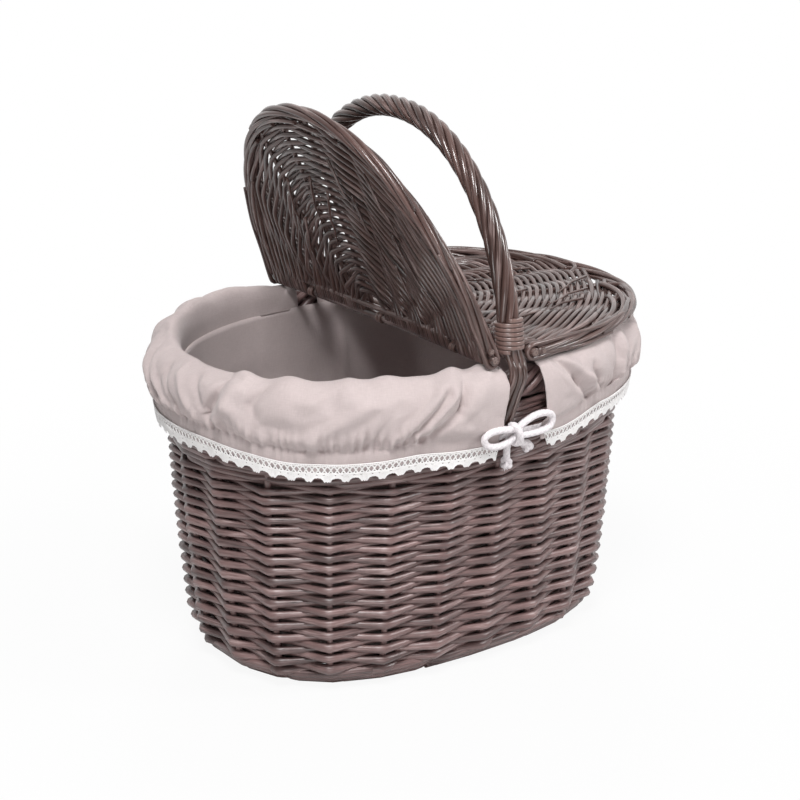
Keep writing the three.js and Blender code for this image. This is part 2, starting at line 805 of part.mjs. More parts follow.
// Bows that tie the two drawstrings together in front of each slit.
// Points are [x, height from the casing's middle, stand-off from the weave].
const bowFront = casingStandOff + clothThickness + foldDepth / 2 + cordRadius + touchGap;
const knotPlace = [-0.4, 4.7, bowFront - 3.4];
const bowRoutes = {
  tie_left: [[tieStart(-slitShortSide), 0, cordStandOff], [tieStart(-slitShortSide) + 3, 0, cordStandOff],
    [-2, 4, 6.8]],
  tie_right: [[tieStart(slitLongSide), 0, cordStandOff], [tieStart(slitLongSide) - 3, 0, cordStandOff],
    [14, 1.6, 4.8], [2, 4, 6.8]],
  loop_left: [[-1, 8.2, bowFront - 1], [-9, 9.6, bowFront], [-18, 10.6, bowFront + 0.4],
    [-26.5, 9.8, bowFront + 0.4], [-30.8, 5.6, bowFront], [-27.5, -0.6, bowFront], [-18, -3, bowFront],
    [-9, -1.6, bowFront], [-1, 1.4, bowFront - 1]],
  loop_right: [[1, 8.4, bowFront - 1], [8, 13, bowFront], [18, 16.4, bowFront + 0.4],
    [29, 16, bowFront + 0.4], [36, 11.6, bowFront], [34.5, 4, bowFront], [24, 1.6, bowFront],
    [10, 1.8, bowFront], [1, 2, bowFront - 1]],
  tail_left: [[-2.5, -1, 8.6], [-3.6, -6, 8.4], [-3, -12, 7.4], [-1.6, -19.5, 6.6]],
  tail_right: [[3, -1, 8.6], [7.5, -5.4, 8.4], [13, -7.6, 8], [17, -11.4, 7.4]],
};

// A tie begins where its drawstring ends, inside the casing
function tieStart(slitEdge) {
  return slitEdge + Math.sign(slitEdge) * (cordTuck - curveGap);
}

function bowPoint([x, height, standOff]) {
  return nearWall(x, casingMiddle + height, standOff);
}

function knotBody(growth) {
  const middle = bowPoint(knotPlace);
  const ball = new THREE.SphereGeometry(1, 10, 7);
  ball.scale(knotHalfWidth + growth, knotHalfDepth + growth, knotHalfWidth + growth);
  return ball.translate(middle.x, middle.y, middle.z);
}

function bowGeometry(name, route) {
  const points = route.map(bowPoint);
  const steps = name.startsWith('loop') ? 12 : 4;
  const strand = tube(points, cordRadius, steps);
  if (!name.startsWith('tail')) return cut(strand, knotBody(touchGap));
  const end = points[points.length - 1];
  const knot = new THREE.SphereGeometry(endKnotRadius, 8, 5).translate(end.x, end.y, end.z);
  return cut(joined(strand, knot), knotBody(touchGap));
}

function makeBows() {
  for (const [side, turn] of [['near', 0], ['far', Math.PI]]) {
    const knot = add(basket, `bow_${side}_knot`, closed(knotBody(0)), finishes.cord());
    knot.rotation.z = turn;
    for (const [name, route] of Object.entries(bowRoutes)) {
      const strand = add(basket, `bow_${side}_${name}`, bowGeometry(name, route), finishes.cord());
      strand.rotation.z = turn;
    }
  }
}
makeBows();

export default basket;
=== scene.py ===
import math
import random

import bmesh
import bpy
import numpy as np
from mathutils import Matrix, Vector, noise
from mathutils.geometry import interpolate_bezier


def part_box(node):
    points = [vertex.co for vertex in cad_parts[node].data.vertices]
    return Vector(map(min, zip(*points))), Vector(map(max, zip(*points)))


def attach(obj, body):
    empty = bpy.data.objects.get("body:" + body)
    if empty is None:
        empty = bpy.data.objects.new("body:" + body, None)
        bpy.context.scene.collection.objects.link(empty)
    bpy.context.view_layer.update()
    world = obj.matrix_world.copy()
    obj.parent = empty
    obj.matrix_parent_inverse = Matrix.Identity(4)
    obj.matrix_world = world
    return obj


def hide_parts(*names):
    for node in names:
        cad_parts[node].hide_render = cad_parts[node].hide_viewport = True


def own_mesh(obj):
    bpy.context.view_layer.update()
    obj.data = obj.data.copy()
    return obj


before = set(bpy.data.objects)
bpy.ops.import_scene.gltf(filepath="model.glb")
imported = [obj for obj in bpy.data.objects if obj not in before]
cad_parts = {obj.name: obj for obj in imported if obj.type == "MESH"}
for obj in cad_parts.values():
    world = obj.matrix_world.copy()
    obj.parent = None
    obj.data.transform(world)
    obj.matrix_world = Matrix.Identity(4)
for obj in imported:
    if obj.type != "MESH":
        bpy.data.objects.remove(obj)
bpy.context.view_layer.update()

# Camera: the picture is taken from in front of the left end, a little above the lids,
# with a long lens that keeps the uprights straight.
scene = bpy.context.scene
scene.view_settings.view_transform = "Standard"
camera = bpy.data.objects.new("camera", bpy.data.cameras.new("camera"))
camera.location = (-1.0136, -1.4156, 0.7722)
camera.rotation_euler = (math.radians(90 - 18.37), 0, math.radians(-35.69))
camera.data.sensor_width = 36
camera.data.lens = 98.9
scene.collection.objects.link(camera)
scene.camera = camera

# Bow cords: each casing of the lining holds a braided cotton cord, and the two cords meet at each
# slit, where they are tied in a bow. Both ends finish in a small tight knot with a frayed tip.
wall_height = 0.260
rim_half = Vector((0.200, 0.150))
foot_half = Vector((0.178, 0.120))
rim_roundness, foot_roundness = 2.2, 2.6
belly_bulge = 0.0024
foot_height, foot_tuck = 0.030, 0.027


def wall_oval(z, inset=0.0):
    """Half-length, half-width and roundness of the wall's outline at a height."""
    rise = z / wall_height
    below = max(0.0, 1 - z / foot_height)
    swell = 4 * belly_bulge * rise * (1 - rise) - foot_tuck * (1 - math.sqrt(1 - below * below)) - inset
    half = foot_half.lerp(rim_half, rise)
    return half.x + swell, half.y + swell, foot_roundness + (rim_roundness - foot_roundness) * rise


def near_wall(x, z, stand_off):
    """Point in front of the near side of the wall."""
    length, width, roundness = wall_oval(z)
    return Vector((x, -width * (1 - abs(x / length) ** roundness) ** (1 / roundness) - stand_off, z))


def even_steps(points, step):
    """The same line with its points an even step apart."""
    spans = [(b - a).length for a, b in zip(points, points[1:])]
    count = max(2, round(sum(spans) / step))
    stride = sum(spans) / count
    even, i, walked = [points[0].copy()], 0, 0.0
    for k in range(1, count):
        while walked + spans[i] < k * stride:
            walked += spans[i]
            i += 1
        even.append(points[i].lerp(points[i + 1], (k * stride - walked) / spans[i]))
    return even + [points[-1].copy()]


def smooth_path(points, step):
    """One smooth line through the given points, with its own points a step apart."""
    last = len(points) - 1
    ways = [(points[min(i + 1, last)] - points[max(i - 1, 0)]).normalized() for i in range(last + 1)]
    fine = []
    for i in range(last):
        reach = (points[i + 1] - points[i]).length / 3
        fine += interpolate_bezier(points[i], points[i] + reach * ways[i],
                                   points[i + 1] - reach * ways[i + 1], points[i + 1], 24)[:-1]
    return even_steps(fine + [points[-1]], step)


def link_piece(name, mesh):
    piece = bpy.data.objects.new(name, mesh)
    scene.collection.objects.link(piece)
    return piece


def mesh_piece(name, bm):
    mesh = bpy.data.meshes.new(name)
    bm.to_mesh(mesh)
    bm.free()
    return link_piece(name, mesh)


def tubes(name, runs, sides=8, closed=False, tones=None):
    """One mesh of round rods or cords: each run is a list of (point, radius) along its middle.
    "lay" keeps the place round and along each rod for its finish, and "tone" a shade for each rod."""
    curve = bpy.data.curves.new(name, "CURVE")
    curve.dimensions = "3D"
    curve.bevel_depth = 1.0
    curve.bevel_resolution = (sides - 4) // 2
    curve.resolution_u = 1
    for run in runs:
        spline = curve.splines.new("POLY")
        spline.points.add(len(run) - 1)
        spline.points.foreach_set("co", [c for point, radius in run for c in (*point, 1)])
        spline.points.foreach_set("radius", [radius for point, radius in run])
        spline.use_cyclic_u = closed
    drawn = link_piece(name, curve)
    mesh = bpy.data.meshes.new_from_object(drawn.evaluated_get(bpy.context.evaluated_depsgraph_get()))
    bpy.data.objects.remove(drawn)
    shades = random.Random(name)
    turn = np.arange(sides) * 2 * math.pi / sides
    lay, tone = [], []
    for k, run in enumerate(runs):
        middle = np.array([tuple(point) for point, radius in run])
        radii = np.array([radius for point, radius in run])
        along = np.concatenate([[0], np.cumsum(np.linalg.norm(np.diff(middle, axis=0), axis=1))])
        ring = np.empty((len(run), sides, 3))
        ring[..., 0] = radii[:, None] * np.cos(turn)
        ring[..., 1] = radii[:, None] * np.sin(turn)
        ring[..., 2] = along[:, None] + shades.uniform(0, 9)
        lay.append(ring.reshape(-1, 3))
        shade = tones[k] if tones else shades.random()
        tone.append(np.full(len(run) * sides, shade))
    kept_lay = mesh.attributes.new("lay", "FLOAT_VECTOR", "POINT")
    kept_lay.data.foreach_set("vector", np.concatenate(lay).ravel())
    kept_tone = mesh.attributes.new("tone", "FLOAT", "POINT")
    kept_tone.data.foreach_set("value", np.concatenate(tone))
    mesh.shade_smooth()
    if not closed:
        bm = bmesh.new()
        bm.from_mesh(mesh)
        caps = bmesh.ops.holes_fill(bm, edges=[e for e in bm.edges if e.is_boundary], sides=0)["faces"]
        for face in caps:
            face.smooth = False
        bm.to_mesh(mesh)
        bm.free()
    return link_piece(name, mesh)


def fit(piece, material, slot, body, *nodes):
    """Gives a piece its finish, makes it stand for its CAD nodes and ride on their body; its slot is not
    used.
    """
    piece.data.materials.append(material)
    if nodes:
        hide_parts(*nodes)
    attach(piece, body)


class Value:
    """A shader socket that can be added to, taken from and multiplied like a number."""

    def __init__(self, finish, socket):
        self.finish = finish
        self.socket = socket

    def maths(self, operation, *inputs):
        return self.finish.node("ShaderNodeMath", {"operation": operation}, dict(enumerate(inputs)))

    def __add__(self, other):
        return self.maths("ADD", self, other)

    def __sub__(self, other):
        return self.maths("SUBTRACT", self, other)

    def __rsub__(self, other):
        return self.maths("SUBTRACT", other, self)

    def __mul__(self, other):
        return self.maths("MULTIPLY", self, other)

    __radd__, __rmul__ = __add__, __mul__


class Finish:
    """A material with its shader, and the one way in which its other nodes are made."""

    def __init__(self, name, **constants):
        self.material = bpy.data.materials.new(name)
        self.material.use_nodes = True
        self.nodes = self.material.node_tree.nodes
        self.links = self.material.node_tree.links
        self.shader = self.nodes["Principled BSDF"]
        for socket, value in constants.items():
            self.set(socket.replace("_", " ").title().replace("Ior", "IOR"), value)

    def put(self, socket, value):
        if isinstance(value, Value):
            self.links.new(value.socket, socket)
        else:
            socket.default_value = value

    def set(self, name, value):
        self.put(self.shader.inputs[name], value)

    def node(self, kind, settings=None, inputs=None, output=None):
        node = self.nodes.new(kind)
        for key, value in (settings or {}).items():
            if key == "stops":
                ramp = node.color_ramp.elements
                while len(ramp) < len(value):
                    ramp.new(1.0)
                for stop, (place, colour) in zip(ramp, value):
                    stop.position = place
                    stop.color = (*colour, 1)
            else:
                setattr(node, key, value)
        for key, value in (inputs or {}).items():
            if isinstance(key, str):
                named = [s for s in node.inputs if key in (s.identifier, s.name)]
                self.put(named[0], value)
            else:
                self.put(node.inputs[key], value)
        outputs = [s for s in node.outputs if output in (s.identifier, s.name)] if output else node.outputs
        return Value(self, outputs[0])

    def attribute(self, name, output):
        return self.node("ShaderNodeAttribute", {"attribute_name": name}, output=output)

    def scaled(self, vector, scale):
        return self.node("ShaderNodeVectorMath", {"operation": "MULTIPLY"}, {0: vector, 1: scale})

    def noise(self, vector, scale, detail=2.0, roughness=0.5):
        spread = self.scaled(vector, scale)
        return self.node("ShaderNodeTexNoise", {}, {"Vector": spread, "Scale": 1.0, "Detail": detail,
                                                    "Roughness": roughness}, "Fac")

    def mixed(self, factor, first, second):
        return self.node("ShaderNodeMix", {"data_type": "RGBA", "clamp_factor": True},
                         {"Factor_Float": factor, "A_Color": first, "B_Color": second}, "Result_Color")

    def bump(self, height, strength, distance):
        self.set("Normal", self.node("ShaderNodeBump", {}, {"Strength": strength, "Distance": distance,
                                                            "Height": height}, "Normal"))


cord_radius = 0.0028
cord_white = (0.80, 0.755, 0.77, 1)
# The darker cord colour is painted shade for the hollows between the braid's strands.
cord_hollow_shade = (0.56, 0.51, 0.53, 1)
braid_pitch = 0.0052
braid_strands = 4
braid_relief = 0.00032


def cord_finish():
    finish = Finish("braided cotton cord", roughness=0.85, sheen_weight=0.25, sheen_roughness=0.5)
    lay = finish.attribute("lay", "Vector")
    dirt = finish.noise(lay, (300, 300, 120), 3)
    yarn = finish.noise(lay, (5000, 5000, 2500), 2)
    hollow = finish.attribute("hollow", "Fac")
    # The hollows between the braid's strands are darkened as painted shade; the dirt noise is the cord's own
    # soiling.
    finish.set("Base Color", finish.mixed(hollow * 0.8 + dirt * 0.25, cord_white, cord_hollow_shade))
    finish.bump(yarn, 0.5, 0.0003)
    return finish.material


cotton_cord = cord_finish()


def braid(piece, sides, runs, radius):
    """Raises the two crossing sets of strands of a braid on a cord; each point's depth sets its painted
    shade.
    """
    mesh = piece.data
    depth = mesh.attributes.new("hollow", "FLOAT", "POINT")
    first = 0
    for run in runs:
        along = 0.0
        for i, (middle, width) in enumerate(run):
            along += (middle - run[i - 1][0]).length if i else 0.0
            for k in range(sides):
                round_way = braid_strands * k / sides
                right = along / braid_pitch + round_way
                left = along / braid_pitch - round_way
                over = (math.floor(right) + math.floor(left)) % 2
                across = (right if over else left) % 1.0
                height = math.sin(math.pi * across) ** 0.7
                vertex = mesh.vertices[first + i * sides + k]
                out = (vertex.co - middle)
                vertex.co = middle + out * (1 + braid_relief / radius * (height - 0.75))
                # Deeper points get more of the painted shade.
                depth.data[vertex.index].value = 1 - height
        first += len(run) * sides


casing_middle = 0.20525
cord_stand_off = 0.0033
bow_front = 0.01395
bow_middle = 0.009
bow_routes = {
    "tie_left": [(-0.0145, 0, cord_stand_off), (-0.0115, 0, cord_stand_off), (-0.002, 0.004, 0.0068)],
    "tie_right": [(0.0315, 0, cord_stand_off), (0.0285, 0, cord_stand_off), (0.014, 0.0016, 0.0048),
                  (0.002, 0.004, 0.0068)],
    "loop_left": [(-0.001, 0.0082, bow_front - 0.001), (-0.009, 0.0096, bow_front),
                  (-0.018, 0.0106, bow_front + 0.0004), (-0.0265, 0.0098, bow_front + 0.0004),
                  (-0.0308, 0.0056, bow_front), (-0.0275, -0.0006, bow_front), (-0.018, -0.003, bow_front),
                  (-0.009, -0.0016, bow_front), (-0.001, 0.0014, bow_front - 0.001)],
    "loop_right": [(0.001, 0.0084, bow_front - 0.001), (0.008, 0.013, bow_front),
                   (0.018, 0.0164, bow_front + 0.0004), (0.029, 0.016, bow_front + 0.0004),
                   (0.036, 0.0116, bow_front), (0.0345, 0.004, bow_front), (0.024, 0.0016, bow_front),
                   (0.010, 0.0018, bow_front), (0.001, 0.002, bow_front - 0.001)],
    "tail_left": [(-0.0025, -0.001, 0.0086), (-0.0036, -0.006, 0.0084), (-0.003, -0.012, 0.0074),
                  (-0.0014, -0.0225, 0.0062)],
    "tail_right": [(0.003, -0.001, 0.0086), (0.0075, -0.0054, 0.0084), (0.013, -0.0076, 0.008),
                   (0.017, -0.0114, 0.0074)],
}
cord_sides, end_sides = 20, 12
cord_step = 0.0006
end_radius, end_size = 0.0021, 0.0034
fray_count = 26
as_made, turned_round = Matrix.Identity(4), Matrix.Rotation(math.pi, 4, "Z")


def bow_point(place):
    x, height, stand_off = place
    return near_wall(x, casing_middle + height, stand_off)


def end_knot(end, way, radius):
    """The line of a tight overhand knot round the end of a tail."""
    side = way.cross(Vector((0, 1, 0))).normalized()
    front = side.cross(way)
    points = []
    count = 40
    for i in range(count):
        t = i / count * 2 * math.pi
        right = (math.sin(t) + 2 * math.sin(2 * t)) / 3
        up = (math.cos(t) - 2 * math.cos(2 * t)) / 3
        points.append(end + radius * (right * side + up * way + 0.75 * math.sin(3 * t) * front))
    return points


def tie_bow(place, spin):
    """Two strands, each from its casing through the knot, round a loop and out in a tail."""
    strands = {}
    for name, tie, loop, tail in (("from_left", "tie_left", "loop_right", "tail_left"),
                                  ("from_right", "tie_right", "loop_left", "tail_right")):
        heart = [(0.0, 0.0052, bow_middle)]
        turn_back = [(0.0, 0.0012, bow_front - 0.003)]
        route = bow_routes[tie] + heart + bow_routes[loop] + turn_back + bow_routes[tail]
        path = [spin @ p for p in smooth_path([bow_point(p) for p in route], cord_step)]
        run = [(p, cord_radius) for p in path]
        strand = tubes(f"bow_{place}_{name}", [run], cord_sides)
        braid(strand, cord_sides, [run], cord_radius)
        strands[name] = (strand, path, tie, loop, tail)

    wrap = [(-0.0042, 0.0108, 0.0105), (-0.0032, 0.0118, 0.0142), (-0.0012, 0.0086, 0.0178),
            (0.0004, 0.0034, 0.0184), (0.0016, -0.0018, 0.0166), (0.0012, -0.0042, 0.0126),
            (0.0, -0.0036, 0.0088)]
    wrap_run = [(spin @ p, cord_radius) for p in smooth_path([bow_point(p) for p in wrap], cord_step)]
    knot = tubes(f"bow_{place}_wrap", [wrap_run], cord_sides)
    braid(knot, cord_sides, [wrap_run], cord_radius)

    for name, (strand, path, tie, loop, tail) in strands.items():
        end = path[-1]
        way = (path[-1] - path[-6]).normalized()
        knot_run = [(p, end_radius) for p in even_steps(end_knot(end, way, end_size), cord_step)]
        end_piece = tubes(f"bow_{place}_{name}_end", [knot_run], end_sides, closed=True)
        braid(end_piece, end_sides, [knot_run], end_radius)
        fray = random.Random(name)
        threads = []
        for i in range(fray_count):
            lean = Vector((fray.uniform(-1, 1), fray.uniform(-1, 1), fray.uniform(-1, 1))) * 0.45
            root = end + 0.0028 * way + 0.0012 * Vector((fray.uniform(-1, 1), 0, fray.uniform(-1, 1)))
            tip = root + (way + lean).normalized() * fray.uniform(0.0022, 0.0038)
            bent = (root + tip) / 2 + lean * 0.0004
            threads.append([(root, 0.0003), (bent, 0.00028), (tip, 0.00012)])
        tuft = tubes(f"bow_{place}_{name}_fray", threads, 4)
        fit(strand, cotton_cord, "cord", "basket", *(f"bow_{place}_{part}" for part in (tie, loop, tail)))
        fit(end_piece, cotton_cord, "cord", "basket")
        fit(tuft, cotton_cord, "cord", "basket")
        length = sum((b - a).length for a, b in zip(path, path[1:]))
    fit(knot, cotton_cord, "cord", "basket", f"bow_{place}_knot")


tie_bow("near", as_made)
tie_bow("far", turned_round)

# Drawstrings: the same braided cord runs on inside each casing, from one slit to the other,
# and draws the cuff in round the wall. Only its ends show, where it comes out at the slits.
slit_short, slit_long = 0.012, 0.029
cord_tuck = 0.003
string_steps = 240


def oval_point(angle, z, inset=0.0):
    """Point on the wall's outline at a height, at an angle round the oval."""
    length, width, roundness = wall_oval(z, inset)
    c, s = math.cos(angle), math.sin(angle)
    return Vector((math.copysign(length * abs(c) ** (2 / roundness), c),
                   math.copysign(width * abs(s) ** (2 / roundness), s), z))


def angle_at(x, z, inset, side):
    """Angle of the oval's point at x, on the far side (1) or the near side (-1)."""
    length, width, roundness = wall_oval(z, inset)
    return side * math.acos(math.copysign(abs(x / length) ** (roundness / 2), x))


string_from = angle_at(-slit_long - cord_tuck, casing_middle, -cord_stand_off, 1)
string_to = 2 * math.pi + angle_at(-slit_short - cord_tuck, casing_middle, -cord_stand_off, -1)
string_turns = np.linspace(string_from, string_to, string_steps + 1)
string_line = [oval_point(angle, casing_middle, -cord_stand_off) for angle in string_turns]
for side, spin in (("left", as_made), ("right", turned_round)):
    string_run = [(spin @ p, cord_radius) for p in even_steps(string_line, 0.002)]
    string = tubes(f"drawstring_{side}_cord", [string_run], 10)
    string.data.attributes.new("hollow", "FLOAT", "POINT")
    fit(string, cotton_cord, "cord", "basket", f"drawstring_{side}")

# Base: five cross sticks with three long sticks laid over them, and fine willow rods woven round
# and round them to an oval mat. It stands on the foot wale's edge.
willow_light = (0.275, 0.166, 0.158)
willow_depth = 0.12
willow_scar = (0.022, 0.013, 0.011, 1)
# Pale grey of rubbed streaks on the rods, also used as a painted highlight.
willow_scuff_and_highlight = (0.44, 0.35, 0.34, 1)


def willow_finish(name, gloss, polish, light):
    finish = Finish(name, specular_ior_level=0.3, coat_roughness=polish, coat_weight=gloss)
    lay = finish.attribute("lay", "Vector")
    tone = finish.attribute("tone", "Fac")
    streak = finish.noise(lay, (1100, 1100, 45), 3)
    patch = finish.noise(lay, (120, 120, 26), 3)
    spread = finish.scaled(lay, (330, 330, 34))
    buds = finish.node("ShaderNodeTexVoronoi", {}, {"Vector": spread, "Scale": 1.0}, "Distance")
    scar = finish.node("ShaderNodeMapRange", {}, {"Value": buds, "From Min": 0.05, "From Max": 0.16,
                                                  "To Min": 1.0, "To Max": 0.0})
    shade = tone * 0.34 + streak * 0.80 + patch * 1.00 - 0.58
    base = finish.mixed(shade, (*(willow_depth * c for c in light), 1), (*light, 1))
    # Pale streaks where streak and patch noise peak: partly rubbed wear, partly a painted highlight on the
    # rods.
    worn = finish.mixed((streak * 0.5 + patch * 0.5 - 0.55) * 4.0, base, willow_scuff_and_highlight)
    finish.set("Base Color", finish.mixed(scar * 0.8, worn, willow_scar))
    finish.set("Roughness", 0.30 + patch * 0.16 + streak * 0.14)
    finish.bump(streak * 0.6 - scar * 0.8 + patch * 0.5, 0.6, 0.0003)
    return finish.material


willow = willow_finish("stained willow", 0.9, 0.33, willow_light)


mat_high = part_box("base_weave")[1]
mat_half = Vector((mat_high[0], mat_high[1]))
mat_thickness = mat_high[2]
stick_radius = 0.0024
stick_skin = 0.0008
cross_height = stick_skin + stick_radius
long_height = mat_thickness - cross_height
stick_clear = 0.0008
long_sticks = (-0.013, 0.0, 0.013)
cross_sticks = (-0.052, -0.026, 0.0, 0.026, 0.052)
mat_rod = 0.0016
mat_pitch = 0.0035
mat_swing = 0.0034


def mat_reach(place, along, across):
    """How far a stick reaches from the middle of the mat, inside its outline."""
    return across * (1 - abs(place / along) ** foot_roundness) ** (1 / foot_roundness) - stick_clear


def mat_stick(kind, number, ends):
    stick = tubes(f"base_{kind}_rod_{number}", [[(p, stick_radius) for p in even_steps(ends, 0.008)]], 10)
    fit(stick, willow, "willow_rod", "basket", f"base_{kind}_stick_{number}")


for i, y in enumerate(long_sticks):
    reach = mat_reach(y, mat_half.y, mat_half.x)
    mat_stick("long", i + 1, [Vector((-reach, y, long_height)), Vector((reach, y, long_height))])
for i, x in enumerate(cross_sticks):
    reach = mat_reach(x, mat_half.x, mat_half.y)
    mat_stick("cross", i + 1, [Vector((x, -reach, cross_height)), Vector((x, reach, cross_height))])

mat_runs = []
mat_middle = Vector((0.060, 0.019))
mat_rounds = round((mat_half.y - mat_rod - mat_middle.y) / mat_pitch)
mat_steps = 160
stick_ends = 2 * (len(long_sticks) + len(cross_sticks))
for k in range(mat_rounds + 1):
    half = mat_middle.lerp(mat_half - Vector((mat_rod, mat_rod)), k / mat_rounds)
    run = []
    for i in range(mat_steps):
        angle = i * 2 * math.pi / mat_steps
        c, s = math.cos(angle), math.sin(angle)
        power = 2 / foot_roundness
        x = math.copysign(half.x * abs(c) ** power, c)
        y = math.copysign(half.y * abs(s) ** power, s)
        over = math.cos(stick_ends / 2 * angle) * (-1) ** k
        run.append((Vector((x, y, mat_thickness / 2 + mat_swing * over)), mat_rod))
    mat_runs.append(run)
mat = tubes("base_weaving", mat_runs, 6, closed=True)
fit(mat, willow, "willow", "basket", "base_weave")

# Foot wale: where the side stakes turn up, three rods at a time are twisted round them, each in
# front of two stakes and behind the next. It rounds the foot of the wall and stands on the ground.
stake_count = 22
stake_inset = 0.00715
stake_radius = 0.0027
stake_steps = 8
weave_swing_out, weave_swing_in = 0.0060, 0.0046


def stake_angles(z):
    """Angles of the stakes, which are spaced evenly round the wall at a height."""
    fine = 4000
    points = [oval_point(i * 2 * math.pi / fine, z) for i in range(fine + 1)]
    walked = [0.0]
    for a, b in zip(points, points[1:]):
        walked.append(walked[-1] + (b - a).length)
    wanted = [(k + 0.5) / stake_count * walked[-1] for k in range(stake_count)]
    return [float(np.interp(w, walked, range(fine + 1))) * 2 * math.pi / fine for w in wanted]


middle_height = 0.12
stake_turns = stake_angles(middle_height)


def stake_place(number, z, inset):
    return oval_point(stake_turns[number % stake_count], z, inset)


def between_stakes(u, z, inset):
    """Point at a distance u in stakes round the wall, on the straight line from stake to stake."""
    number = math.floor(u)
    return stake_place(number, z, inset).lerp(stake_place(number + 1, z, inset), u - number)


def wale(rounds, foot, climb, radius, swing, lift, seed):
    """Three rods waled round the stakes: each passes in front of two stakes and behind one."""
    shake = random.Random(seed)
    runs = []
    for m in range(3):
        start = 7 * m + shake.randrange(3)
        run = []
        steps = round(rounds * stake_count * stake_steps)
        for i in range(steps + 1):
            u = start + i / stake_steps
            phase = ((u - m) / 3) % 1.0
            if phase < 2 / 3:
                out = min(1.0, 3.2 * math.sin(1.5 * math.pi * phase))
                height = -lift * math.cos(1.5 * math.pi * phase)
            else:
                out = -math.sin(3 * math.pi * (phase - 2 / 3))
                height = lift * math.cos(3 * math.pi * (phase - 2 / 3))
            z = foot + climb * i / stake_steps / stake_count + height
            z += 0.0004 * noise.noise(Vector((u * 0.9, m, seed)))
            stout = radius * (1 + 0.12 * noise.noise(Vector((u * 0.35, m + 7, seed))))
            run.append((between_stakes(u, max(z, radius), stake_inset - swing * out), stout))
        runs.append(run)
    return runs


foot_runs = wale(1.0, 0.0038, 0.0, 0.0035, 0.0042, 0.0010, 11)
foot_runs += wale(1.0, 0.0088, 0.0, 0.0035, 0.0048, 0.0026, 12)
foot_runs += wale(1.0, 0.0134, 0.0, 0.0031, 0.0050, 0.0020, 15)
foot = tubes("foot_wale_rods", foot_runs, 8)
fit(foot, willow, "willow", "basket", "foot_wale")

# Wall: single rods woven plain, in front of one stake and behind the next, one row on the other.
# Each rod is thick at its butt and thin at its tip, and the next one starts where it runs out.
weave_foot = 0.0098
weave_top = 0.1795
pitch_foot, pitch_top = 0.0059, 0.0038
butt_radius, tip_radius = 0.0034, 0.0029
kink = 0.996
rod_overlap = 0.75


def row_heights():
    """Heights of the rows, up the curved side of the wall: the rods are finer towards the top."""
    heights, z, walked = [], weave_foot, 0.0
    step = 0.0002
    while z < weave_top:
        here, there = wall_oval(z)[1], wall_oval(z + step)[1]
        walked += math.hypot(there - here, step)
        z += step
        pitch = pitch_foot + (pitch_top - pitch_foot) * z / weave_top
        if walked >= pitch:
            walked -= pitch
            heights.append(z)
    return heights


rows = row_heights()
weave_runs = []
wander = random.Random(5)
for j, row_height in enumerate(rows):
    first = (5 * j) % stake_count
    first += (first + j) % 2
    for reach in (8, 8, 6):
        steps = round((reach + 2 * rod_overlap) * stake_steps)
        droop = wander.uniform(-0.0004, 0.0004)
        stout = wander.uniform(0.94, 1.06) * (1.12 - 0.26 * row_height / weave_top)
        run = []
        for i in range(steps + 1):
            u = first - rod_overlap + i / stake_steps
            swing = math.asin(kink * math.cos(math.pi * (u + j))) / math.asin(kink)
            z = row_height + droop + 0.0006 * noise.noise(Vector((u * 0.8, j * 3.1, 0)))
            radius = stout * (butt_radius + (tip_radius - butt_radius) * i / steps)
            radius *= 0.86 + 0.30 * swing * swing + 0.07 * noise.noise(Vector((u * 0.5, j * 1.7, 5)))
            reach_out = (weave_swing_out if swing > 0 else weave_swing_in) * swing
            run.append((between_stakes(u, z, stake_inset - reach_out), radius))
        weave_runs.append(run)
        first += reach
weave_runs += wale(4.2, 0.1800, 0.0066, 0.0028, 0.0042, 0.0015, 13)
weave = tubes("wall_weaving", weave_runs, 8)
fit(weave, willow, "willow", "basket", "wall_weave")

# Top wale: the last rounds of waling bind the stakes under the border.
top_runs = wale(2.9, 0.2085, 0.0072, 0.0024, 0.0046, 0.0013, 14)
top_band = tubes("top_wale_rods", top_runs, 8)
fit(top_band, willow, "willow", "basket", "top_wale")

# Stakes and border: the stakes rise from the base through all the weave, and at the top they are
# bent over and plaited round each other into a thick rolled border.
border_middle = 0.2442
border_inset, border_width, border_height = 0.0064, 0.0040, 0.0105
border_rod = 0.0031
border_strands = 6
border_turns = 16
border_runs = []
for j in range(border_strands):
    run = []
    steps = border_turns * 16
    for i in range(steps):
        share = i / steps
        roll = 2 * math.pi * (border_turns * share + j / border_strands)
        angle = 2 * math.pi * share
        lump = 1 + 0.10 * noise.noise(Vector((share * 40, j, 3)))
        inset = border_inset + border_width * math.cos(roll)
        z = border_middle - border_height * math.sin(roll)
        run.append((oval_point(angle, z, inset), border_rod * lump))
    border_runs.append(run)
border = tubes("border_plait", border_runs, 8, closed=True)
stake_foot, stake_rise, stake_forward = 0.0045, 0.232, 0.0018
# The stakes stand a little forward in the plain weave, and further back in the waling above it.
wale_height, wale_ease = 0.174, 0.010
stake_points = 40
stake_runs = []
for number in range(stake_count):
    run = []
    for i in range(stake_points + 1):
        z = stake_foot + stake_rise * (i / stake_points) ** 1.25
        forward = stake_forward * min(1.0, max(0.0, (wale_height - z) / wale_ease))
        run.append((stake_place(number, z, stake_inset - forward), stake_radius))
    stake_runs.append(run)
# The stakes all take a light tone: painted light, so that the bits of stake between the rows look lit instead
# of shaded.
stakes = tubes("side_stakes", stake_runs, 8, tones=[0.9] * stake_count)
fit(border, willow, "willow", "basket", "stakes_and_border")
fit(stakes, willow, "willow", "basket")

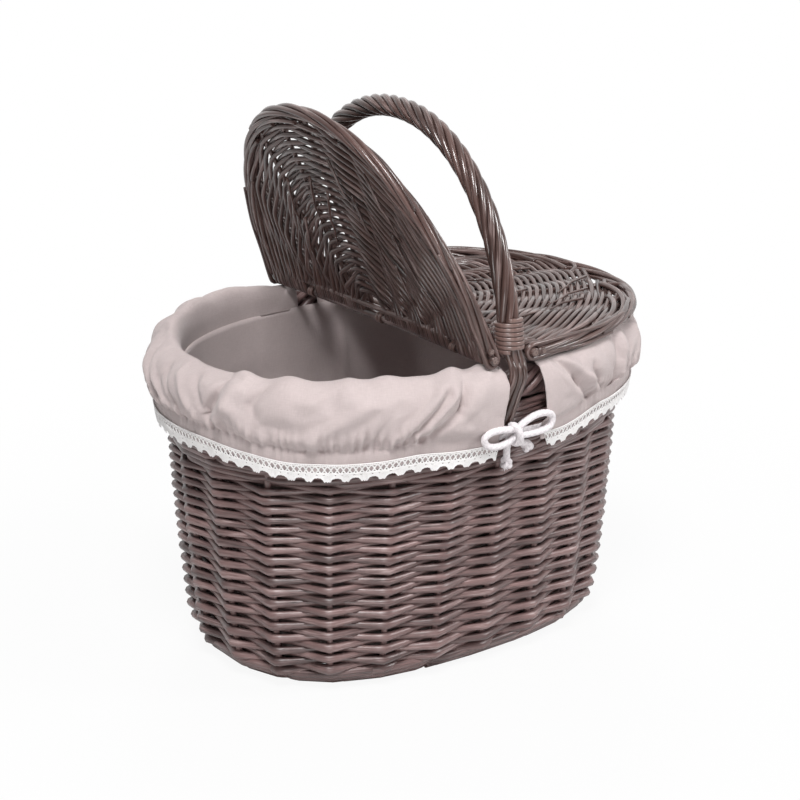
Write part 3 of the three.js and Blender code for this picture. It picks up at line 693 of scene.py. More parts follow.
# Handle: a stout bow rod stands in the wall at both sides, and seven rods are twisted round it.
# The twist is long near the feet and shorter at the top. Their tips fan out down the wall.
glossy_willow = willow_finish("stained willow rod", 1.0, 0.17, (0.145, 0.080, 0.068))
arch_rise = 0.181
arch_roundness = 2.09
handle_foot = 0.278
strand_count = 7
strand_radius = 0.00268
strand_ring = 0.0063
core_radius = 0.0036
arch_step = 0.003
twist_foot, twist_top = 0.030 * strand_count, 0.0125 * strand_count


def arch_point(angle):
    power = 2 / arch_roundness
    c = math.cos(angle)
    return Vector((0, -math.copysign(abs(c) ** power, c) * rim_half.y,
                   wall_height + arch_rise * math.sin(angle) ** power))


foot_angle = math.asin(((handle_foot - wall_height) / arch_rise) ** (arch_roundness / 2))
arch_turns = np.linspace(foot_angle, math.pi - foot_angle, 401)
arch = even_steps([arch_point(float(angle)) for angle in arch_turns], arch_step)
across = Vector((1, 0, 0))


def arch_frame(i):
    """Direction along the handle and the direction away from its inside, at a point of the arch."""
    way = (arch[min(i + 1, len(arch) - 1)] - arch[max(i - 1, 0)]).normalized()
    return way, across.cross(way)


twist = [0.0]
for i in range(1, len(arch)):
    middle_share = 1 - abs(2 * i / (len(arch) - 1) - 1)
    pitch = twist_foot + (twist_top - twist_foot) * middle_share ** 0.7
    twist.append(twist[-1] + 2 * math.pi * arch_step / pitch)
half_twist = twist[-1] / 2
handle_runs = []
# Where the tips of the rods end on the wall: distance from its middle, height and stand-off.
fan = [(-0.0125, 0.232, 0.0030), (-0.0115, 0.226, 0.0052), (-0.0100, 0.220, 0.0032), (-0.0082, 0.215, 0.0056),
       (-0.0058, 0.212, 0.0034), (-0.0030, 0.210, 0.0054), (0.0008, 0.2105, 0.0032)]
foot_order = sorted(range(strand_count), key=lambda j: math.cos(half_twist + 2 * math.pi * j / strand_count))
far_order = sorted(range(strand_count), key=lambda j: math.cos(2 * math.pi * j / strand_count - half_twist))


def fan_tail(start, target):
    """The tapered end of a rod, from under the binding down the outside of the wall."""
    x, z, stand_off = target
    end = near_wall(x, z, stand_off)
    knee = near_wall(start.x * 0.95 + 0.0022, 0.2600, stand_off + 0.0045)
    bend = near_wall(start.x * 1.10 - 0.0006, 0.2400, stand_off + 0.0030)
    line = smooth_path([start, knee, bend, end], 0.002)
    count = len(line)
    return [(p, strand_radius * (1 - 0.40 * ((i + 1) / count) ** 1.2)) for i, p in enumerate(line)][1:]


for j in range(strand_count):
    body = []
    for i, middle in enumerate(arch):
        way, outward = arch_frame(i)
        roll = half_twist - twist[i] + 2 * math.pi * j / strand_count
        out = math.cos(roll) * across + math.sin(roll) * outward
        body.append((middle + strand_ring * out, strand_radius))
    near_tail = fan_tail(body[0][0], fan[foot_order.index(j)])
    far_tail = fan_tail(turned_round @ body[-1][0], fan[strand_count - 1 - far_order.index(j)])
    handle_runs.append(near_tail[::-1] + body + [(turned_round @ p, radius) for p, radius in far_tail])
handle = tubes("handle_rods", handle_runs, 10)
fit(handle, glossy_willow, "willow_rod", "basket", "handle_wrap", "handle_leg_near", "handle_leg_far")
core = tubes("handle_bow", [[(p, core_radius) for p in arch]], 8)
fit(core, glossy_willow, "willow_rod", "basket", "handle_core")

# Bindings: a flat skein of split willow is wound round each foot of the handle, over the rods,
# in two layers.
skein_width, skein_thickness = 0.0034, 0.0012
binding_turns = 7
binding_pitch = 0.0034
binding_foot = 0.2752
binding_radius = strand_ring + strand_radius + skein_thickness / 2
binding_layer = 0.0013
binding_start = 2.2
binding_steps = 28
# Outline of a skein across its length, as shares of its width and thickness.
skein_outline = ((-0.5, -0.3), (-0.42, 0.3), (-0.2, 0.5), (0.2, 0.5), (0.42, 0.3), (0.5, -0.3),
                 (0.3, -0.5), (-0.3, -0.5))


def skein(name, lines):
    """Flat strips: each line is a list of (point, outward direction), and the strip lies flat on it."""
    bm = bmesh.new()
    for line in lines:
        rim = []
        for i, (point, out) in enumerate(line):
            way = (line[min(i + 1, len(line) - 1)][0] - line[max(i - 1, 0)][0]).normalized()
            flat = way.cross(out).normalized()
            places = [point + skein_width * a * flat + skein_thickness * b * out for a, b in skein_outline]
            if not rim:
                ring = [bm.verts.new(p) for p in places]
                rim = [bm.edges.new((a, b)) for a, b in zip(ring, ring[1:] + ring[:1])]
                bm.faces.new(ring[::-1])
                continue
            drawn = set(bmesh.ops.extrude_edge_only(bm, edges=rim)["geom"])
            ring = [next(edge.other_vert(old) for edge in old.link_edges if edge.other_vert(old) in drawn)
                    for old in ring]
            for vert, place in zip(ring, places):
                vert.co = place
            rim = [bm.edges.get((a, b)) for a, b in zip(ring, ring[1:] + ring[:1])]
        bm.faces.new(ring)
    bmesh.ops.recalc_face_normals(bm, faces=bm.faces)
    for face in bm.faces:
        face.smooth = True
    return mesh_piece(name, bm)


def split_finish():
    finish = Finish("split willow skein", roughness=0.35, coat_roughness=0.18, coat_weight=0.5)
    place = finish.node("ShaderNodeTexCoord", {}, output="Object")
    grain = finish.noise(place, (700, 700, 90), 3)
    patch = finish.noise(place, (60, 60, 60), 2)
    shade = grain * 0.6 + patch * 0.7 - 0.15
    finish.set("Base Color", finish.mixed(shade, (0.060, 0.034, 0.029, 1), (0.26, 0.160, 0.140, 1)))
    finish.set("Roughness", 0.26 + grain * 0.2)
    finish.bump(grain, 0.4, 0.0002)
    return finish.material


split_willow = split_finish()


def binding_line(radius):
    """One layer of turns up the foot of the handle, as (point, outward)."""
    line = []
    for i in range(binding_turns * binding_steps + 1):
        turn = i / binding_steps
        z = binding_foot + binding_pitch * turn
        angle = math.asin(((z - wall_height) / arch_rise) ** (arch_roundness / 2))
        middle = arch_point(angle)
        above = arch_point(angle + 0.004)
        outward = across.cross((above - middle).normalized())
        roll = 2 * math.pi * turn + binding_start
        out = math.cos(roll) * across + math.sin(roll) * outward
        line.append((middle + radius * out, out))
    return line


for place, spin in (("near", as_made), ("far", turned_round)):
    layers = []
    for layer in range(2):
        line = binding_line(binding_radius + layer * binding_layer)
        layers.append([(spin @ p, spin @ out) for p, out in line])
    binding = skein(f"binding_{place}_skein", layers)
    fit(binding, split_willow, "split_willow", "basket", f"handle_binding_{place}")

# Hinge: a cross bar lies between the feet of the handle, and six skein ties are wound round it and
# the hinge sticks of the lids, so that each stick turns in its ties.
lid_plane = 0.271
hinge_offset = 0.020
bar_radius, hinge_stick_radius = 0.0040, 0.0035
tie_middles = [-0.092, 0.008, 0.108]
tie_turns, tie_pitch, tie_skin = 2, 0.0038, 0.0009
bar_low, bar_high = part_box("hinge_bar")
bar_line = even_steps([Vector((0, bar_low[1], lid_plane)), Vector((0, bar_high[1], lid_plane))], 0.008)
bar = tubes("hinge_cross_bar", [[(p, bar_radius * (1 + 0.03 * noise.noise(p * 30))) for p in bar_line]], 12)
fit(bar, glossy_willow, "willow_rod", "basket", "hinge_bar")


def tie_outline(bar_reach, stick_reach):
    """Outline of a band round the bar and the stick, as (point, outward) in the XZ plane."""
    lean = math.acos((bar_reach - stick_reach) / hinge_offset)
    outline = []
    for x, radius, first, last in ((hinge_offset, stick_reach, -lean, lean),
                                   (0, bar_reach, lean, 2 * math.pi - lean)):
        for i in range(9):
            angle = first + (last - first) * i / 8
            out = Vector((math.cos(angle), 0, math.sin(angle)))
            outline.append((Vector((x, 0, 0)) + radius * out, out))
    return outline


outline = tie_outline(bar_radius + tie_skin, hinge_stick_radius + tie_skin)
for side, spin in (("right", as_made), ("left", turned_round)):
    for i, middle in enumerate(tie_middles):
        line = []
        for k in range(tie_turns * len(outline) + 1):
            point, out = outline[k % len(outline)]
            y = middle + tie_pitch * (k / len(outline) - 1)
            line.append((spin @ Vector((point.x, y, lid_plane + point.z)), spin @ out))
        tie = skein(f"tie_{side}_{i + 1}", [line])
        fit(tie, split_willow, "split_willow", "basket", f"hinge_tie_{side}_{i + 1}")

# Lids: each half lid is woven like a fan. Ribs spread from a stick beside the hinge stick, rods are
# woven over and under them in arches and turned round both sticks, and the ends of the ribs are
# bent over and rolled with long rods into the border.
lid_willow = willow_finish("stained lid willow", 0.85, 0.19, (0.150, 0.084, 0.073))
lid_reach, lid_half = 0.189, 0.150
lid_roundness = 2.11
open_angle = math.radians(68)
second_offset, second_radius = 0.0087, 0.0025
stick_half = lid_half + 0.0065 + 0.0008
rib_numbers = range(-3, 4)
rib_pitch_root, rib_pitch_edge = 0.0245, 0.0400
rib_radius, rib_taper, rib_end = 0.0021, 0.1, 0.985
rib_steps = 24
stick_rounding = 0.18
lid_rod = 0.00205
lid_pitch = 0.0037
lid_swing = 0.0034
lid_dome = 0.003
panel_edge = 0.972
wrap_reach = 0.0045
tie_clear = 0.0064
longest_span = 0.075
side_points = 7
far_lift = 0.0032


def lid_edge(angle, scale):
    power = 2 / lid_roundness
    c, s = math.cos(angle), math.sin(angle)
    return scale * lid_reach * max(c, 0.0) ** power, scale * lid_half * math.copysign(abs(s) ** power, s)


def lid_scale(u, y):
    """Size of the lid's outline through a point, where 1 is the middle of the border."""
    total = (max(u, 0) / lid_reach) ** lid_roundness + (abs(y) / lid_half) ** lid_roundness
    return total ** (1 / lid_roundness)


def dome(u, y):
    """How far the lid's middle stands out from its plane."""
    return lid_dome * (1 - min(1.0, lid_scale(u, y)) ** 2)


def right_place(u, y, n):
    """Point of the right lid, u from its hinge and n above its plane: its far side lies a little high."""
    far_rise = far_lift * min(1.0, max(0.0, (y - 0.03) / 0.10)) * min(1.0, max(0.0, (u - 0.025) / 0.05))
    return Vector((hinge_offset + u, y, lid_plane + n + far_rise))


def left_place(u, y, n):
    """Point of the left lid, which stands open."""
    c, s = math.cos(open_angle), math.sin(open_angle)
    return Vector((-hinge_offset - u * c + n * s, y, lid_plane + u * s + n * c))


def rib_aim(number):
    """Angle of the lid's outline at which a rib ends."""
    return math.copysign(math.asin(abs(number * rib_pitch_edge / lid_half) ** (lid_roundness / 2)), number)


def rib_point(number, share, shift):
    """Point of a rib in the lid's plane, from its foot in the second stick to the border."""
    edge_u, edge_y = lid_edge(rib_aim(number), 1.0)
    root_y = number * rib_pitch_root + shift
    return second_offset + (edge_u - second_offset) * share, root_y + (edge_y - root_y) * share


def rib_crossing(number, scale, skew, shift):
    """Where a row of weaving crosses a rib, or None where it doesn't reach the rib inside the lid."""
    def size(share):
        u, y = rib_point(number, share, shift)
        return lid_scale(u, y - skew * u)
    low, high = 0.0, 1.0
    if size(low) > scale or size(high) < scale:
        return None
    for step in range(20):
        middle = (low + high) / 2
        if size(middle) < scale:
            low = middle
        else:
            high = middle
    return rib_point(number, low, shift)


def lid_row(j, scale, skew, shift, tie_places, shake):
    """The line of one rod of the weave in the lid's plane, in arches from the sticks and back."""
    corners = []
    lone = (0.9 * scale * lid_reach, skew * scale * lid_reach, 0)
    for number in rib_numbers:
        crossing = rib_crossing(number, scale, skew, shift)
        if crossing and lid_scale(*crossing) < panel_edge:
            corners.append((*crossing, lid_swing * (-1) ** (j + number)))
    line = []
    for end in (-1, 1):
        side = []
        start = corners[0 if end < 0 else -1] if corners else lone
        reach = min(0.999, ((start[1] - skew * start[0]) * end / lid_half / scale))
        from_angle = math.asin(max(0.0, reach) ** (lid_roundness / 2)) if corners else 0.2
        outside = 0
        hug = panel_edge - shake.uniform(0.0, 0.025)
        for i in range(1, side_points + 1):
            angle = from_angle + (math.pi / 2 - from_angle) * i / side_points
            u, y = lid_edge(end * angle, scale)
            y += skew * u
            n = start[2] * math.cos(math.pi * i / side_points) if i < side_points else 0
            if lid_scale(u, y) >= panel_edge and (scale < panel_edge or outside < 2):
                pull = 0.999 * hug / lid_scale(u, y)
                u, y = u * pull, y * pull
                outside += 1
            if lid_scale(u, y) < panel_edge and u > second_offset:
                side.append((u, y, n * (1 - i / (side_points + 2)) - lid_swing * (i / side_points) ** 3))
        last_y = end * scale * lid_half
        if abs(last_y) < panel_edge * lid_half - 0.001:
            last_y += shake.uniform(-0.0008, 0.0008)
            side.append((second_offset, last_y, -second_radius - 0.0014))
            if min(abs(last_y - tie) for tie in tie_places) > tie_clear:
                side.append((0.002, last_y, -wrap_reach))
                for k in range(5):
                    turn = math.pi * (k + 0.5) / 5
                    side.append((-wrap_reach * math.sin(turn), last_y, -wrap_reach * math.cos(turn)))
                drift = shake.uniform(-0.003, 0.003)
                side.append((0.003, last_y + 0.2 * drift, wrap_reach))
                side.append((0.011, last_y + drift, wrap_reach - 0.0006))
        line = side[::-1] + line if end < 0 else line + corners + side
    return line


def eased(corners, share):
    """A line of rounded bends through straight stretches: each corner is cut off by a share."""
    points = [corners[0]]
    for a, b, c in zip(corners, corners[1:], corners[2:]):
        points += [b.lerp(a, share), (b.lerp(a, share) + 2 * b + b.lerp(c, share)) / 4, b.lerp(c, share)]
    return points + [corners[-1]]


def cut_ends(piece, limit):
    """The cut ends of a stick show a ring of bark, pale wood and a dark pith."""
    bm = bmesh.new()
    bm.from_mesh(piece.data)
    bm.normal_update()
    for face in [f for f in bm.faces if abs(f.calc_center_median().y) > limit and abs(f.normal.y) > 0.9]:
        for share, depth, material in ((0.14, 0.0, 0), (0.12, -0.05, 0), (0.42, 0.05, 1), (0.45, -0.04, 1)):
            size = math.sqrt(face.calc_area() / math.pi)
            face.material_index = material
            ring = bmesh.ops.inset_individual(bm, faces=[face], thickness=share * size, depth=depth * size)
            for made in ring["faces"]:
                made.material_index = material
        face.material_index = 0
    bm.to_mesh(piece.data)
    bm.free()


def wood_finish():
    finish = Finish("cut willow end", roughness=0.6)
    place = finish.node("ShaderNodeTexCoord", {}, output="Object")
    pores = finish.noise(place, (2500, 2500, 2500), 2)
    finish.set("Base Color", finish.mixed(pores, (0.10, 0.068, 0.060, 1), (0.22, 0.155, 0.138, 1)))
    finish.bump(pores, 0.4, 0.0002)
    return finish.material


cut_wood = wood_finish()


def border_line(first, last, roll_first, roll_last, reach, place, seed):
    """A rod of the border between two angles of the outline, rolling round the border's middle."""
    steps = max(6, round(abs(last - first) * 40))
    line = []
    for i in range(steps + 1):
        share = i / steps
        angle = first + (last - first) * share
        u, y = lid_edge(angle, 1.0)
        u_next, y_next = lid_edge(angle + 0.01, 1.0)
        way = Vector((u_next - u, y_next - y)).normalized()
        roll = roll_first + (roll_last - roll_first) * share
        out = (reach + 0.0006 * noise.noise(Vector((i * 0.11, seed, 1)))) * math.cos(roll)
        line.append(place(u + way.y * out, y - way.x * out, reach * math.sin(roll)))
    return line


def lid_sticks(side, place):
    """The hinge stick, and the second stick beside it in which the ribs are pegged."""
    for kind, offset, radius, nodes in (("hinge", 0.0, hinge_stick_radius, [f"{side}_lid_hinge_stick"]),
                                        ("second", second_offset, second_radius, [])):
        rim = radius * stick_rounding
        ends = [place(offset, -stick_half, 0), place(offset, stick_half, 0)]
        shaft = even_steps([ends[0].lerp(ends[1], 0.001), ends[1].lerp(ends[0], 0.001)], 0.008)
        run = [(ends[0], radius - rim)] + [(p, radius) for p in shaft] + [(ends[1], radius - rim)]
        stick = tubes(f"{side}_{kind}_rod", [run], 12)
        fit(stick, glossy_willow, "willow_rod", f"{side}_lid", *nodes)
        stick.data.materials.append(cut_wood)
        cut_ends(stick, stick_half - 0.0005)


def lid_ribs(side, place, shift):
    runs = []
    for number in rib_numbers:
        run = []
        for i in range(rib_steps + 1):
            u, y = rib_point(number, rib_end * i / rib_steps, shift)
            run.append((place(u, y, dome(u, y)), rib_radius * (1 - rib_taper * i / rib_steps)))
        runs.append(run)
    ribs = tubes(f"{side}_lid_ribs", runs, 8)
    fit(ribs, lid_willow, "willow_rod", f"{side}_lid", f"{side}_lid_rib_frame")


def lid_panel(side, place, skew, shift, tie_places, seed):
    """The weave, and short loose ends of its rods that lie on both faces."""
    shake = random.Random(seed)
    rods = []
    smallest, largest = 0.11, panel_edge + abs(skew) * 0.85
    count = round((largest - smallest) * lid_reach / lid_pitch)
    for j in range(count + 1):
        scale = smallest + (largest - smallest) * j / count
        line = lid_row(j, scale, skew, shift, tie_places, shake)
        breaks = [i for i in range(1, len(line)) if math.dist(line[i - 1][:2], line[i][:2]) > longest_span]
        for first, last in zip([0] + breaks, breaks + [len(line)]):
            part = line[first:last]
            if len(part) < 3:
                continue
            corners = [place(u, y, n + dome(u, y)) for u, y, n in part]
            run = []
            for i, p in enumerate(eased(corners, 0.22)):
                radius = lid_rod * (1 + 0.16 * noise.noise(Vector((i * 0.12, j * 2.1, seed))))
                at_stick = part[min((i + 2) // 3, len(part) - 1)][0] < 0.010
                run.append((p, radius * (0.80 if at_stick else 1)))
            rods.append(run)
    loose_ends = 16
    for k in range(loose_ends):
        start = Vector((shake.uniform(0.3, 0.9) * lid_reach, shake.uniform(-0.6, 0.6) * lid_half))
        way = Vector((-1.0, math.copysign(shake.uniform(0.1, 0.5), start.y))).normalized()
        face = shake.choice((-1, 1))
        run = []
        for i in range(7):
            spot = start + way * shake.uniform(0.0095, 0.0105) * i
            if lid_scale(spot.x, spot.y) > panel_edge or spot.x < 0.016:
                break
            lift = face * (0.0062 - 0.0036 * (i / 6 if i > 3 else 0.5 - i / 8))
            run.append((place(spot.x, spot.y, lift + dome(spot.x, spot.y)), 0.00125 - 0.0001 * i))
        if len(run) > 3:
            rods.append(run)
    panel = tubes(f"{side}_lid_weaving", rods, 8)
    fit(panel, lid_willow, "willow", f"{side}_lid", f"{side}_lid_panel")


def edge_core(place):
    """Five rods that roll round each other along the whole border."""
    rods = []
    count, turns, reach = 5, 2.0, 0.0036
    for j in range(count):
        roll = 2 * math.pi * j / count
        aim = math.pi / 2 - 0.02
        line = border_line(-aim, aim, roll, roll + 2 * math.pi * turns, reach, place, j)
        run = []
        for i, p in enumerate(line):
            run.append((p, 0.0022 * (1 + 0.14 * noise.noise(Vector((i * 0.1, j, 2))))))
        rods.append(run)
    return rods


def edge_bends(place, shift):
    """The end of each rib, bent over into the border, with a longer rod beside it on each face."""
    rods = []
    for number in rib_numbers:
        turn = -1 if number < 0 else 1
        aim = rib_aim(number)
        u, y = rib_point(number, 0.86, shift)
        start = place(u, y, dome(u, y))
        first, last = aim + turn * 0.10, aim + turn * 0.62
        line = border_line(first, last, math.pi * 0.75, -math.pi * 0.1, 0.0046, place, number)
        line = smooth_path([start] + line[::5] + [line[-1]], 0.003)
        rods.append([(p, 0.0023 - 0.0011 * (i / len(line)) ** 2) for i, p in enumerate(line)])
        for face, stout in ((1, 0.0025), (-1, 0.0018)):
            sweep = []
            for i in range(9):
                share = i / 8
                angle = max(-1.5, min(1.5, aim + turn * (0.06 + 0.62 * share)))
                inner = 0.90 if face > 0 else 0.955
                u, y = lid_edge(angle, inner + (0.985 - inner) * math.sin(math.pi / 2 * share))
                lift = face * (0.0022 + 0.0026 * math.sin(math.pi * min(1.0, 0.15 + share)))
                sweep.append(place(max(u, 0.012), y, lift + dome(u, y)))
            line = smooth_path(sweep, 0.003)
            rods.append([(p, stout * (1 - 0.5 * (i / len(line)) ** 2)) for i, p in enumerate(line)])
    return rods


def edge_hooks(place):
    """A rod hooked round each end of the hinge stick, running into the border on both faces."""
    rods = []
    reach = 0.0056
    for end in (-1, 1):
        hook = [(0.095, 0.1370, -0.0044), (0.060, 0.1475, -0.0046), (0.030, 0.1500, -0.0050),
                (0.010, 0.1522, -0.0054), (0.0, 0.1528, -reach)]
        for k in range(1, 8):
            turn = -math.pi / 2 - math.pi * k / 8
            hook.append((reach * math.cos(turn), 0.1530, reach * math.sin(turn)))
        hook += [(0.0, 0.1528, reach), (0.012, 0.1520, reach), (0.036, 0.1495, 0.0054),
                 (0.075, 0.1430, 0.0050), (0.120, 0.1230, 0.0044)]
        line = smooth_path([place(u, end * y, n) for u, y, n in hook], 0.003)
        rods.append([(p, 0.0021 - 0.0007 * abs(2 * i / len(line) - 1)) for i, p in enumerate(line)])
    return rods


def lid(side, place, skew, shift, tie_places, seed):
    lid_sticks(side, place)
    lid_ribs(side, place, shift)
    lid_panel(side, place, skew, shift, tie_places, seed)
    edge_rods = edge_core(place) + edge_bends(place, shift) + edge_hooks(place)
    rim = tubes(f"{side}_lid_edge_rods", edge_rods, 8)
    fit(rim, lid_willow, "willow", f"{side}_lid", f"{side}_lid_border")


lid("right", right_place, 0.30, 0.017, tie_middles, 21)
lid("left", left_place, 0.06, 0.006, [-middle for middle in tie_middles], 22)

# Lining bag: plain grey-brown cotton is sewn to a bag that hangs loosely inside the basket, with a
# seam all round where it joins the cuffs, a little under the rim.
seam_height = 0.246
bag_inset = 0.0148
bag_clear, bag_slack, bag_heel = 0.0010, 0.0028, 0.004
bag_floor = 0.0136
cloth_light = (0.560, 0.480, 0.472, 1)
cloth_dark = (0.440, 0.368, 0.362, 1)
thread_pitch = 0.0009


def cloth_finish():
    finish = Finish("plain cotton", roughness=0.92, sheen_weight=0.18, sheen_roughness=0.45)
    place = finish.node("ShaderNodeUVMap", {"uv_map": "UVMap"}, output="UV")
    soil = finish.noise(place, (14, 14, 14), 3)
    slub = finish.noise(place, (150, 1300, 1), 2)
    slub_across = finish.noise(place, (1300, 150, 1), 2)
    turns = [finish.node("ShaderNodeSeparateXYZ", {}, {0: place}, axis) * (2 * math.pi / thread_pitch)
             for axis in ("X", "Y")]
    warp, weft = (turn.maths("SINE", turn) for turn in turns)
    tone = soil * 0.7 + slub * 0.70 + slub_across * 0.70 - 0.60
    finish.set("Base Color", finish.mixed(tone, cloth_dark, cloth_light))
    finish.bump(warp * weft * 0.4 + slub * 0.9 + slub_across * 0.9, 0.5, 0.0004)
    return finish.material


cotton = cloth_finish()


def drawn_sheet(name, columns, rows, place, size):
    """A sheet of cloth: a flat grid with its cut size as UVs, each of its points moved to its place."""
    bm = bmesh.new()
    uv = bm.loops.layers.uv.new("UVMap")
    bmesh.ops.create_grid(bm, x_segments=columns, y_segments=rows, size=0.5)
    for face in bm.faces:
        face.smooth = True
        for loop in face.loops:
            loop[uv].uv = ((loop.vert.co.x + 0.5) * size[0], (loop.vert.co.y + 0.5) * size[1])
    for vert in bm.verts:
        vert.co = place(vert.co.x + 0.5, vert.co.y + 0.5)
    bmesh.ops.remove_doubles(bm, verts=bm.verts, dist=1e-6)
    return mesh_piece(name, bm)


def thicken(piece, thickness):
    solid = piece.modifiers.new("thickness", "SOLIDIFY")
    solid.thickness = thickness
    solid.offset = 0


def hump(away):
    """A smooth hump of height 1, about as wide to each side as 1 away."""
    return math.exp(-away ** 2)


bag_wall_share, bag_turn, bag_foot = 0.62, 0.030, 0.020
bag_seam_place = 0.031
bag_seam_width, bag_seam_depth = 0.0045, 0.0026
bag_cut, bag_area = (1.02, 0.36), 0.30


def bag_place(u, v):
    """Point of the bag: u goes round the oval and v from the seam down to the middle of the floor."""
    angle = 2 * math.pi * u
    if v < bag_wall_share:
        t = v / bag_wall_share
        z = seam_height - (seam_height - bag_foot) * t
        sag = 0.0014 * noise.noise(Vector((3 * math.cos(angle), 3 * math.sin(angle), 6 * t)))
        sag += 0.0008 * noise.noise(Vector((11 * math.cos(angle), 11 * math.sin(angle), 3 * t)))
        inset = bag_inset + bag_clear + (sag + bag_slack) * min(1.0, t * 6)
        inset += bag_heel * max(0.0, t - 0.86) / 0.14
        spot = oval_point(angle, max(z, bag_turn), inset)
        from_seam = math.copysign(spot.x, spot.x * spot.y) - bag_seam_place if abs(spot.y) > 0.08 else 1.0
        inset += bag_seam_depth * min(1.0, t * 8) * hump(from_seam / bag_seam_width)
        return oval_point(angle, max(z, bag_turn), inset) + Vector((0, 0, z - max(z, bag_turn)))
    t = (v - bag_wall_share) / (1 - bag_wall_share)
    edge = oval_point(angle, bag_turn, bag_inset + 0.0065)
    z = bag_floor + (bag_foot - bag_floor) * max(0.0, 1 - t * 6) ** 2
    shrink = 1 - t
    ripple = 0.0004 * noise.noise(Vector((edge.x * 60 * shrink, edge.y * 60 * shrink, 2)))
    return Vector((edge.x * shrink, edge.y * shrink, z + ripple + 0.0006))


bag = drawn_sheet("lining_bag_cloth", 360, 80, bag_place, bag_cut)
thicken(bag, 0.0010)
fit(bag, cotton, "cotton", "basket", "lining_bag")

# Cuffs: the top of the lining is turned down over the border in two halves, with a slit between
# them at each foot of the handle. A casing near the hem holds the drawstring, which gathers them,
# so the fuller cloth above it stands in puffs and hangs over the casing in small tight gathers.
hem_height = 0.1965
casing_top = 0.2105
cuff_profile = [(0.0150, 0.2440), (0.0141, 0.2560), (0.0110, 0.2622), (0.0050, 0.2640), (-0.0030, 0.2612),
                (-0.0088, 0.2520), (-0.0108, 0.2390), (-0.0104, 0.2255), (-0.0088, 0.2160), (-0.0083, 0.2105)]
profile_line = smooth_path([Vector((inset, 0, z)) for inset, z in cuff_profile], 0.0008)
cuff_from = angle_at(-slit_long, casing_middle, 0, 1)
cuff_to = 2 * math.pi + angle_at(-slit_short, casing_middle, 0, -1)
fine_turns = np.linspace(cuff_from, cuff_to, 3001)
fine_points = np.array([oval_point(a, casing_middle, -0.008) for a in fine_turns])
fine_walk = np.concatenate([[0], np.cumsum(np.linalg.norm(np.diff(fine_points, axis=0), axis=1))])
cuff_length = float(fine_walk[-1])
cuff_cut = (0.62, 0.114)
casing_cut = 0.0160
cuff_columns, cuff_rows = 296, 40
gather_pitch = 0.0074
gather_depth, overhang, crease_depth = 0.0024, 0.0034, 0.0042
hang_drop = 0.7
slit_ease = 0.022
rim_share = 0.28
# Folds of the cuffs: distance along the cuff and share of the way from the seam down to the casing,
# at the fold's two ends, then its half-width and how far it stands out.
cuff_folds = [(0.014, 0.36, 0.036, 0.66, 0.0045, -0.0050), (0.036, 0.66, 0.053, 0.95, 0.0040, -0.0050),
              (0.024, 0.36, 0.046, 0.66, 0.0055, 0.0040), (0.046, 0.66, 0.060, 0.92, 0.0045, 0.0036),
              (0.056, 0.60, 0.066, 0.92, 0.0035, -0.0036), (0.098, 0.35, 0.088, 0.90, 0.0045, -0.0040),
              (0.106, 0.30, 0.098, 0.92, 0.0050, 0.0034), (0.122, 0.40, 0.116, 0.95, 0.0050, -0.0030),
              (0.140, 0.35, 0.136, 0.90, 0.0070, 0.0036), (0.165, 0.40, 0.168, 0.95, 0.0060, -0.0032),
              (0.190, 0.40, 0.225, 0.88, 0.0050, 0.0034), (0.200, 0.40, 0.238, 0.92, 0.0040, -0.0030),
              (0.213, 0.42, 0.250, 0.88, 0.0050, 0.0036), (0.240, 0.45, 0.268, 0.92, 0.0045, -0.0034),
              (0.262, 0.40, 0.290, 0.92, 0.0050, 0.0042), (0.283, 0.45, 0.303, 0.92, 0.0040, -0.0030),
              (0.322, 0.24, 0.297, 0.80, 0.0050, -0.0078), (0.331, 0.26, 0.308, 0.82, 0.0065, 0.0048),
              (0.312, 0.50, 0.340, 0.95, 0.0080, 0.0032), (0.353, 0.30, 0.338, 0.56, 0.0045, -0.0046),
              (0.366, 0.26, 0.362, 0.60, 0.0130, 0.0034), (0.405, 0.30, 0.398, 0.50, 0.0060, -0.0030),
              (0.420, 0.55, 0.385, 0.85, 0.0110, 0.0034), (0.444, 0.60, 0.425, 0.95, 0.0060, -0.0026),
              (0.482, 0.44, 0.443, 0.94, 0.0055, 0.0042), (0.486, 0.52, 0.4505, 0.95, 0.0036, -0.0034),
              (0.492, 0.52, 0.459, 0.94, 0.0045, 0.0044), (0.501, 0.38, 0.497, 0.65, 0.0045, -0.0060),
              (0.497, 0.65, 0.467, 0.96, 0.0045, -0.0056), (0.515, 0.45, 0.500, 0.85, 0.0110, 0.0030)]
# Swells of the rolled rim: distance along the cuff, half-width and height.
rim_swells = [(0.020, 0.016, 0.0010), (0.062, 0.020, 0.0036), (0.110, 0.026, 0.0050), (0.160, 0.020, 0.0034),
              (0.205, 0.020, 0.0020), (0.252, 0.016, 0.0022), (0.323, 0.011, 0.0052), (0.362, 0.013, 0.0044),
              (0.408, 0.010, 0.0034), (0.438, 0.013, 0.0036), (0.494, 0.011, 0.0050), (0.522, 0.009, 0.0034)]


def cuff_turn(distance):
    """Angle of the oval at a distance along the cuff, from the far slit round the end to the near one."""
    return float(np.interp(distance, fine_walk, fine_turns))


def eased_step(value, low, high):
    share = min(1.0, max(0.0, (value - low) / (high - low)))
    return share * share * (3 - 2 * share)


def hem_lift(distance):
    """How much higher than at the slits the hem is drawn."""
    return (0.0090 * eased_step(distance, 0.015, 0.075) * (1 - eased_step(distance, 0.290, 0.385))
            + 0.0030 * hump((distance - 0.468) / 0.026))


def from_slit(distance):
    """0 at the slits and 1 away from them."""
    return eased_step(min(distance, cuff_length - distance), 0.0, slit_ease)


def over_wall(angle, z, inset):
    """Point on the wall's outline at a height, or straight up from its top where it is higher."""
    return oval_point(angle, min(z, wall_height), inset) + Vector((0, 0, max(0.0, z - wall_height)))


